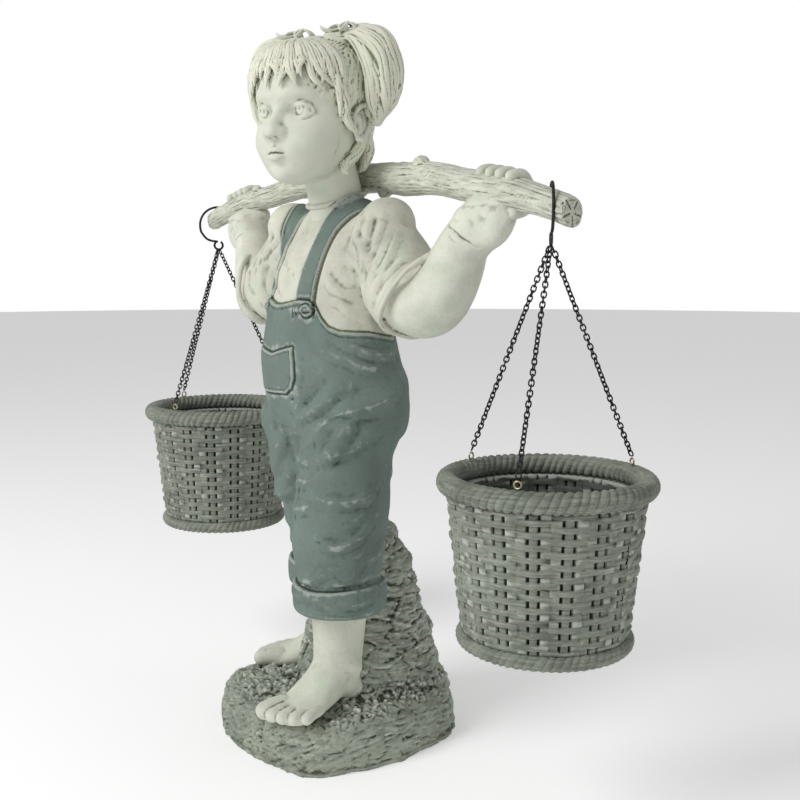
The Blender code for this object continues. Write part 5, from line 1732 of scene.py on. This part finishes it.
        bpy.ops.object.mode_set(mode="OBJECT")
        thin(first, "basket")
        points, _ = points_of(first.data)
        reach = np.hypot(points[:, 0], points[:, 1])
        z = points[:, 2]
        # Painted shade: the inside of each basket, below the rim, takes the dark Inside colour
        store(first.data, "inside", step(-z, -122, -112) * step(0.106 * z - reach, -60.0, -57.5) * (z > 6))
        store_hollows(first.data, 4, 30)
        layers = [(None, paints.basket), ("inside", paints.inside)]
        finish = stone_finish("grey painted stone of the baskets", layers, paints, brush=0.52, mottle=0.44, pores=0.5,
                              wash_and_shade_shares=(0.40, 0.60), grooves=(45.0, 45.0, 700.0), bump=0.55)
        for name, side in SIDES:
            low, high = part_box("basket_" + name)
            item = first if side == 1 else new_object("basket", first.data.copy())
            item.name = "woven_basket_" + name
            turned = Matrix.Rotation(math.radians(self.TURNED[side]), 4, "Z")
            middle = Vector(((low[0] + high[0]) / 2, (low[1] + high[1]) / 2, low[2]))
            if side == 1:
                first_turn, home = turned, middle
                item.data.transform(Matrix.Translation(middle) @ turned)
            else:
                back = first_turn.inverted() @ Matrix.Translation(-home)
                item.data.transform(Matrix.Translation(middle) @ turned @ back)
            placed(item, finish, "basket_stone", "basket_" + name)
        return {"FINISHED"}


# ---------------------------------------------------------------- hooks and chains


# The hooks in millimetres: room beyond the widest branch (2), the neck below the bend, and the eye's radius
HOOK_EASE, HOOK_CLEARANCE, HOOK_NECK, HOOK_EYE = 0.66, 0.8, 1.6, 4.4


def wide_branch(name, side):
    """Half the branch's width as the turned hook crosses it."""
    return float(branch_radius(side * HOOK_X)) / math.cos(math.radians(HOOK_TURN[name]))


def hook_bend(wire):
    widest = max(wide_branch(name, side) for name, side in SIDES)
    return widest + HOOK_EASE + HOOK_CLEARANCE + wire / 2


def hook_foot(name, side, wire):
    """The middle of the eye at the hook's foot, and the radius of the hook's bend."""
    x = side * HOOK_X
    r = float(branch_radius(x))
    bend = hook_bend(wire)
    inside = bend - wire / 2 - HOOK_CLEARANCE
    wide = wide_branch(name, side)
    below = inside - r
    if wide**2 / r > inside:
        below = math.sqrt((inside**2 - wide**2) / (1 + r**2 / (wide**2 - r**2)))
    spot = branch_middle(x)
    return np.array((x, spot[1], spot[2] - below - bend - HOOK_NECK)), bend


class STATUE_OT_hooks(bpy.types.Operator):
    """Bends the two wire hooks that hang on the branch"""

    bl_idname = "statue.hooks"
    bl_label = "Hooks"

    def execute(self, context):
        wire = context.scene.chain_sizes.hook_wire / MM
        finish = wire_finish("blackened wire", (0.018, 0.018, 0.018), 0.6, 0.48)
        for name, side in SIDES:
            foot, size = hook_foot(name, side, wire)
            drop = size + HOOK_NECK
            path = [(size * s, size * c) for c, s in map(compass, range(-28, 121, 10))]
            path += [(size * 0.66, -size * 0.72), (size * 0.34, -drop + HOOK_EYE * 1.05)]
            path += [(HOOK_EYE * s, -drop + HOOK_EYE * c) for c, s in map(compass, range(20, 336, 22))]
            c, s = compass(HOOK_TURN[name])
            ahead = np.array((s, -c, 0))
            rows = [foot + ahead * u + np.array((0, 0, w + drop)) for u, w in path]
            deselect()
            bpy.ops.curve.primitive_nurbs_path_add(location=(0, 0, 0))
            hook = bpy.context.object
            hook.name = "wire_hook_" + name
            curve = hook.data
            curve.splines.clear()
            line = curve.splines.new("POLY")
            fine = smooth_path(rows, 3)
            line.points.add(len(fine) - 1)
            line.points.foreach_set("co", np.column_stack([fine * MM, np.ones(len(fine))]).ravel())
            curve.dimensions = "3D"
            curve.bevel_depth = wire * MM / 2
            curve.bevel_resolution = 3
            curve.use_fill_caps = True
            bpy.ops.object.convert(target="MESH")
            bpy.ops.object.shade_smooth()
            placed(bpy.context.object, finish, "dark_wire", "hook_" + name)
        return {"FINISHED"}


# Outer radius of a wire eye in millimetres
EYE_RADIUS = 3.3


def eye_places():
    """Each wire eye's node, its middle in millimetres and its direction from the basket's middle."""
    found = []
    for name, side in SIDES:
        low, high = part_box("basket_" + name)
        centre = np.array(((low[0] + high[0]) / 2, (low[1] + high[1]) / 2, 0)) / MM
        for index in (1, 2, 3):
            low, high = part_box(f"eye_{name}_{index}")
            spot = (np.array(low) + np.array(high)) / 2 / MM
            out = (spot - centre) * (1, 1, 0)
            found.append((name, side, index, spot, out / np.linalg.norm(out)))
    return found


class STATUE_OT_eyes(bpy.types.Operator):
    """Sets the small wire eyes on the baskets' rims"""

    bl_idname = "statue.eyes"
    bl_label = "Wire eyes"

    def execute(self, context):
        wire = context.scene.chain_sizes.eye_wire
        finish = wire_finish("pale brass wire", (0.42, 0.36, 0.22), 0.85, 0.42)
        for name, _, index, spot, out in eye_places():
            deselect()
            bpy.ops.mesh.primitive_torus_add(
                major_radius=EYE_RADIUS * MM - wire / 2, minor_radius=wire / 2, major_segments=28, minor_segments=10,
                location=Vector(spot * MM), rotation=(math.pi / 2, 0, math.atan2(out[1], out[0]) + math.pi / 2))
            eye = bpy.context.object
            eye.name = f"wire_eye_{name}_{index}"
            bpy.ops.object.shade_smooth()
            placed(eye, finish, "pale_wire", f"eye_{name}_{index}")
        return {"FINISHED"}


class STATUE_OT_chains(bpy.types.Operator):
    """Links the six chains from the hooks down to the wire eyes"""

    bl_idname = "statue.chains"
    bl_label = "Chains"

    # Degrees that the first link is turned about the chain, and each one after it
    FIRST_TURN, NEXT_TURN = 28, 95

    def one_link(self, sizes):
        """A long round-ended link about its own middle, lying along Z in the XZ plane."""
        wire = sizes.link_wire / 2
        radius = sizes.link_width / 2 - wire
        deselect()
        bpy.ops.mesh.primitive_torus_add(major_radius=radius, minor_radius=wire, major_segments=12, minor_segments=5,
                                         rotation=(math.pi / 2, 0, 0))
        link = bpy.context.object
        bpy.ops.object.transform_apply(location=True, rotation=True, scale=True)
        longer = sizes.link_length / 2 - wire - radius
        for vertex in link.data.vertices:
            if abs(vertex.co.z) > 1e-6:
                vertex.co.z += math.copysign(longer, vertex.co.z)
        return link

    def execute(self, context):
        sizes = context.scene.chain_sizes
        wire = sizes.hook_wire / MM
        finish = wire_finish("blackened chain", (0.022, 0.022, 0.023), 0.6, 0.50)
        link = self.one_link(sizes)
        inner = (sizes.link_length - 2 * sizes.link_wire) / MM
        for name, side, index, spot, out in eye_places():
            foot, _ = hook_foot(name, side, wire)
            start = foot + np.array((0, 0, -HOOK_EYE - 1.4)) + out * 1.2
            end = spot + np.array((0, 0, EYE_RADIUS + 1.6)) - out * 0.6
            length = np.linalg.norm(end - start)
            count = max(2, round(length / inner))
            work = bmesh.new()
            down = Vector(end - start).normalized()
            sideways = Vector((-out[1], out[0], 0))
            sideways = (sideways - down * sideways.dot(down)).normalized()
            upright = Matrix((sideways, down.cross(sideways), down)).transposed()
            stretch = Matrix.Diagonal((1, 1, (length / count) / inner))
            for number in range(count):
                middle = Vector(start + (end - start) * ((number + 0.5) / count)) * MM
                twist = Matrix.Rotation(math.radians(self.FIRST_TURN + self.NEXT_TURN * number), 3, down)
                copy = link.data.copy()
                copy.transform(Matrix.Translation(middle) @ (twist @ upright @ stretch).to_4x4())
                work.from_mesh(copy)
                bpy.data.meshes.remove(copy)
            mesh = bpy.data.meshes.new("chain")
            work.to_mesh(mesh)
            work.free()
            chain = new_object(f"link_chain_{name}_{index}", mesh)
            only(chain)
            bpy.ops.object.shade_smooth()
            placed(chain, finish, "dark_wire", f"chain_{name}_{index}")
        bpy.data.objects.remove(link)
        return {"FINISHED"}


# ---------------------------------------------------------------- stage


WHITE = (1.0, 1.0, 1.0, 1.0)


class STATUE_OT_stage(bpy.types.Operator):
    """Lays the pale floor and sets the soft light and the camera"""

    bl_idname = "statue.stage"
    bl_label = "Floor, light and camera"

    FLOOR_RADIUS = 9.0
    # The camera, solved from the photo: its angle round the statue, its distance from the axis and its height,
    # and then how far it looks aside of the axis and down. Angles in radians, lengths in metres
    AROUND, AWAY, UP = 0.9602, 0.9733, 0.4357
    SWING, DIP = -0.0545, 0.1284

    def light(self, name, power, size, place, target):
        made = bpy.data.lights.new(name, "AREA")
        made.energy, made.size = power, size
        item = new_object(name, made)
        item.location = place
        item.rotation_euler = (Vector(target) - Vector(place)).to_track_quat("-Z", "Y").to_euler()

    def execute(self, context):
        stage = context.scene.stage_settings
        deselect()
        bpy.ops.mesh.primitive_circle_add(vertices=96, radius=self.FLOOR_RADIUS, fill_type="NGON", location=(0, 0, 0))
        floor = bpy.context.object
        floor.name = "floor"
        bpy.ops.object.transform_apply(location=True)
        finish = Finish("pale floor")
        finish.shader.inputs["Base Color"].default_value = rgba(stage.floor)
        finish.shader.inputs["Roughness"].default_value = 0.9
        finish.shader.inputs["Emission Color"].default_value = WHITE
        finish.shader.inputs["Emission Strength"].default_value = stage.glow
        floor.data.materials.append(finish.material)
        self.light("front light", stage.key_power, 1.1, (-0.15, -1.75, 1.55), (0.0, 0.0, 0.40))
        self.light("side light", stage.side_power, 0.9, (1.6, 0.9, 1.1), (0.05, 0.0, 0.35))
        scene = context.scene
        world = bpy.data.worlds.new("white room")
        scene.world = world
        world.use_nodes = True
        nodes, links = world.node_tree.nodes, world.node_tree.links
        sky = nodes["Background"]
        sky.inputs["Color"].default_value = WHITE
        sky.inputs["Strength"].default_value = stage.sky
        backdrop = nodes.new("ShaderNodeBackground")
        backdrop.inputs["Color"].default_value = WHITE
        seen = nodes.new("ShaderNodeMixShader")
        path = nodes.new("ShaderNodeLightPath")
        links.new(path.outputs["Is Camera Ray"], seen.inputs[0])
        links.new(sky.outputs[0], seen.inputs[1])
        links.new(backdrop.outputs[0], seen.inputs[2])
        links.new(seen.outputs[0], nodes["World Output"].inputs["Surface"])
        scene.view_settings.view_transform = "Standard"
        camera = bpy.data.cameras.new("camera")
        camera.lens = stage.lens
        camera.sensor_width = 36.0
        item = new_object("camera", camera)
        c, s = math.cos(self.AROUND), math.sin(self.AROUND)
        item.location = (s * self.AWAY, -c * self.AWAY, self.UP)
        facing, level = self.AROUND + self.SWING, math.cos(self.DIP)
        ahead = Vector((-math.sin(facing) * level, math.cos(facing) * level, -math.sin(self.DIP)))
        item.rotation_euler = ahead.to_track_quat("-Z", "Y").to_euler()
        scene.camera = item
        return {"FINISHED"}


# ---------------------------------------------------------------- panel and run


class STATUE_PT_panel(bpy.types.Panel):
    """Lists the pieces of the statue in the sidebar"""

    bl_idname = "STATUE_PT_panel"
    bl_label = "Garden statue"
    bl_space_type = "VIEW_3D"
    bl_region_type = "UI"
    bl_category = "Garden statue"

    def draw(self, context):
        for operator in STEPS:
            self.layout.operator(operator.bl_idname)
        for group in GROUPS:
            settings = getattr(context.scene, group)
            box = self.layout.box()
            for key in settings.__annotations__:
                box.prop(settings, key)


STEPS = (STATUE_OT_head, STATUE_OT_body, STATUE_OT_branch, STATUE_OT_rock, STATUE_OT_baskets, STATUE_OT_hooks,
         STATUE_OT_eyes, STATUE_OT_chains, STATUE_OT_stage)
GROUPS = {"carving_sizes": CarvingSizes, "basket_sizes": BasketSizes, "chain_sizes": ChainSizes,
          "stone_paints": StonePaints, "stage_settings": StageSettings}


def register():
    for made in (*GROUPS.values(), *STEPS, STATUE_PT_panel):
        bpy.utils.register_class(made)
    for name, group in GROUPS.items():
        setattr(bpy.types.Scene, name, bpy.props.PointerProperty(type=group))


def unregister():
    for name in GROUPS:
        delattr(bpy.types.Scene, name)
    for made in reversed((*GROUPS.values(), *STEPS, STATUE_PT_panel)):
        bpy.utils.unregister_class(made)


def main():
    register()
    bpy.ops.statue.head()
    bpy.ops.statue.body()
    bpy.ops.statue.branch()
    bpy.ops.statue.rock()
    bpy.ops.statue.baskets()
    bpy.ops.statue.hooks()
    bpy.ops.statue.eyes()
    bpy.ops.statue.chains()
    bpy.ops.statue.stage()


if __name__ == "__main__":
    main()
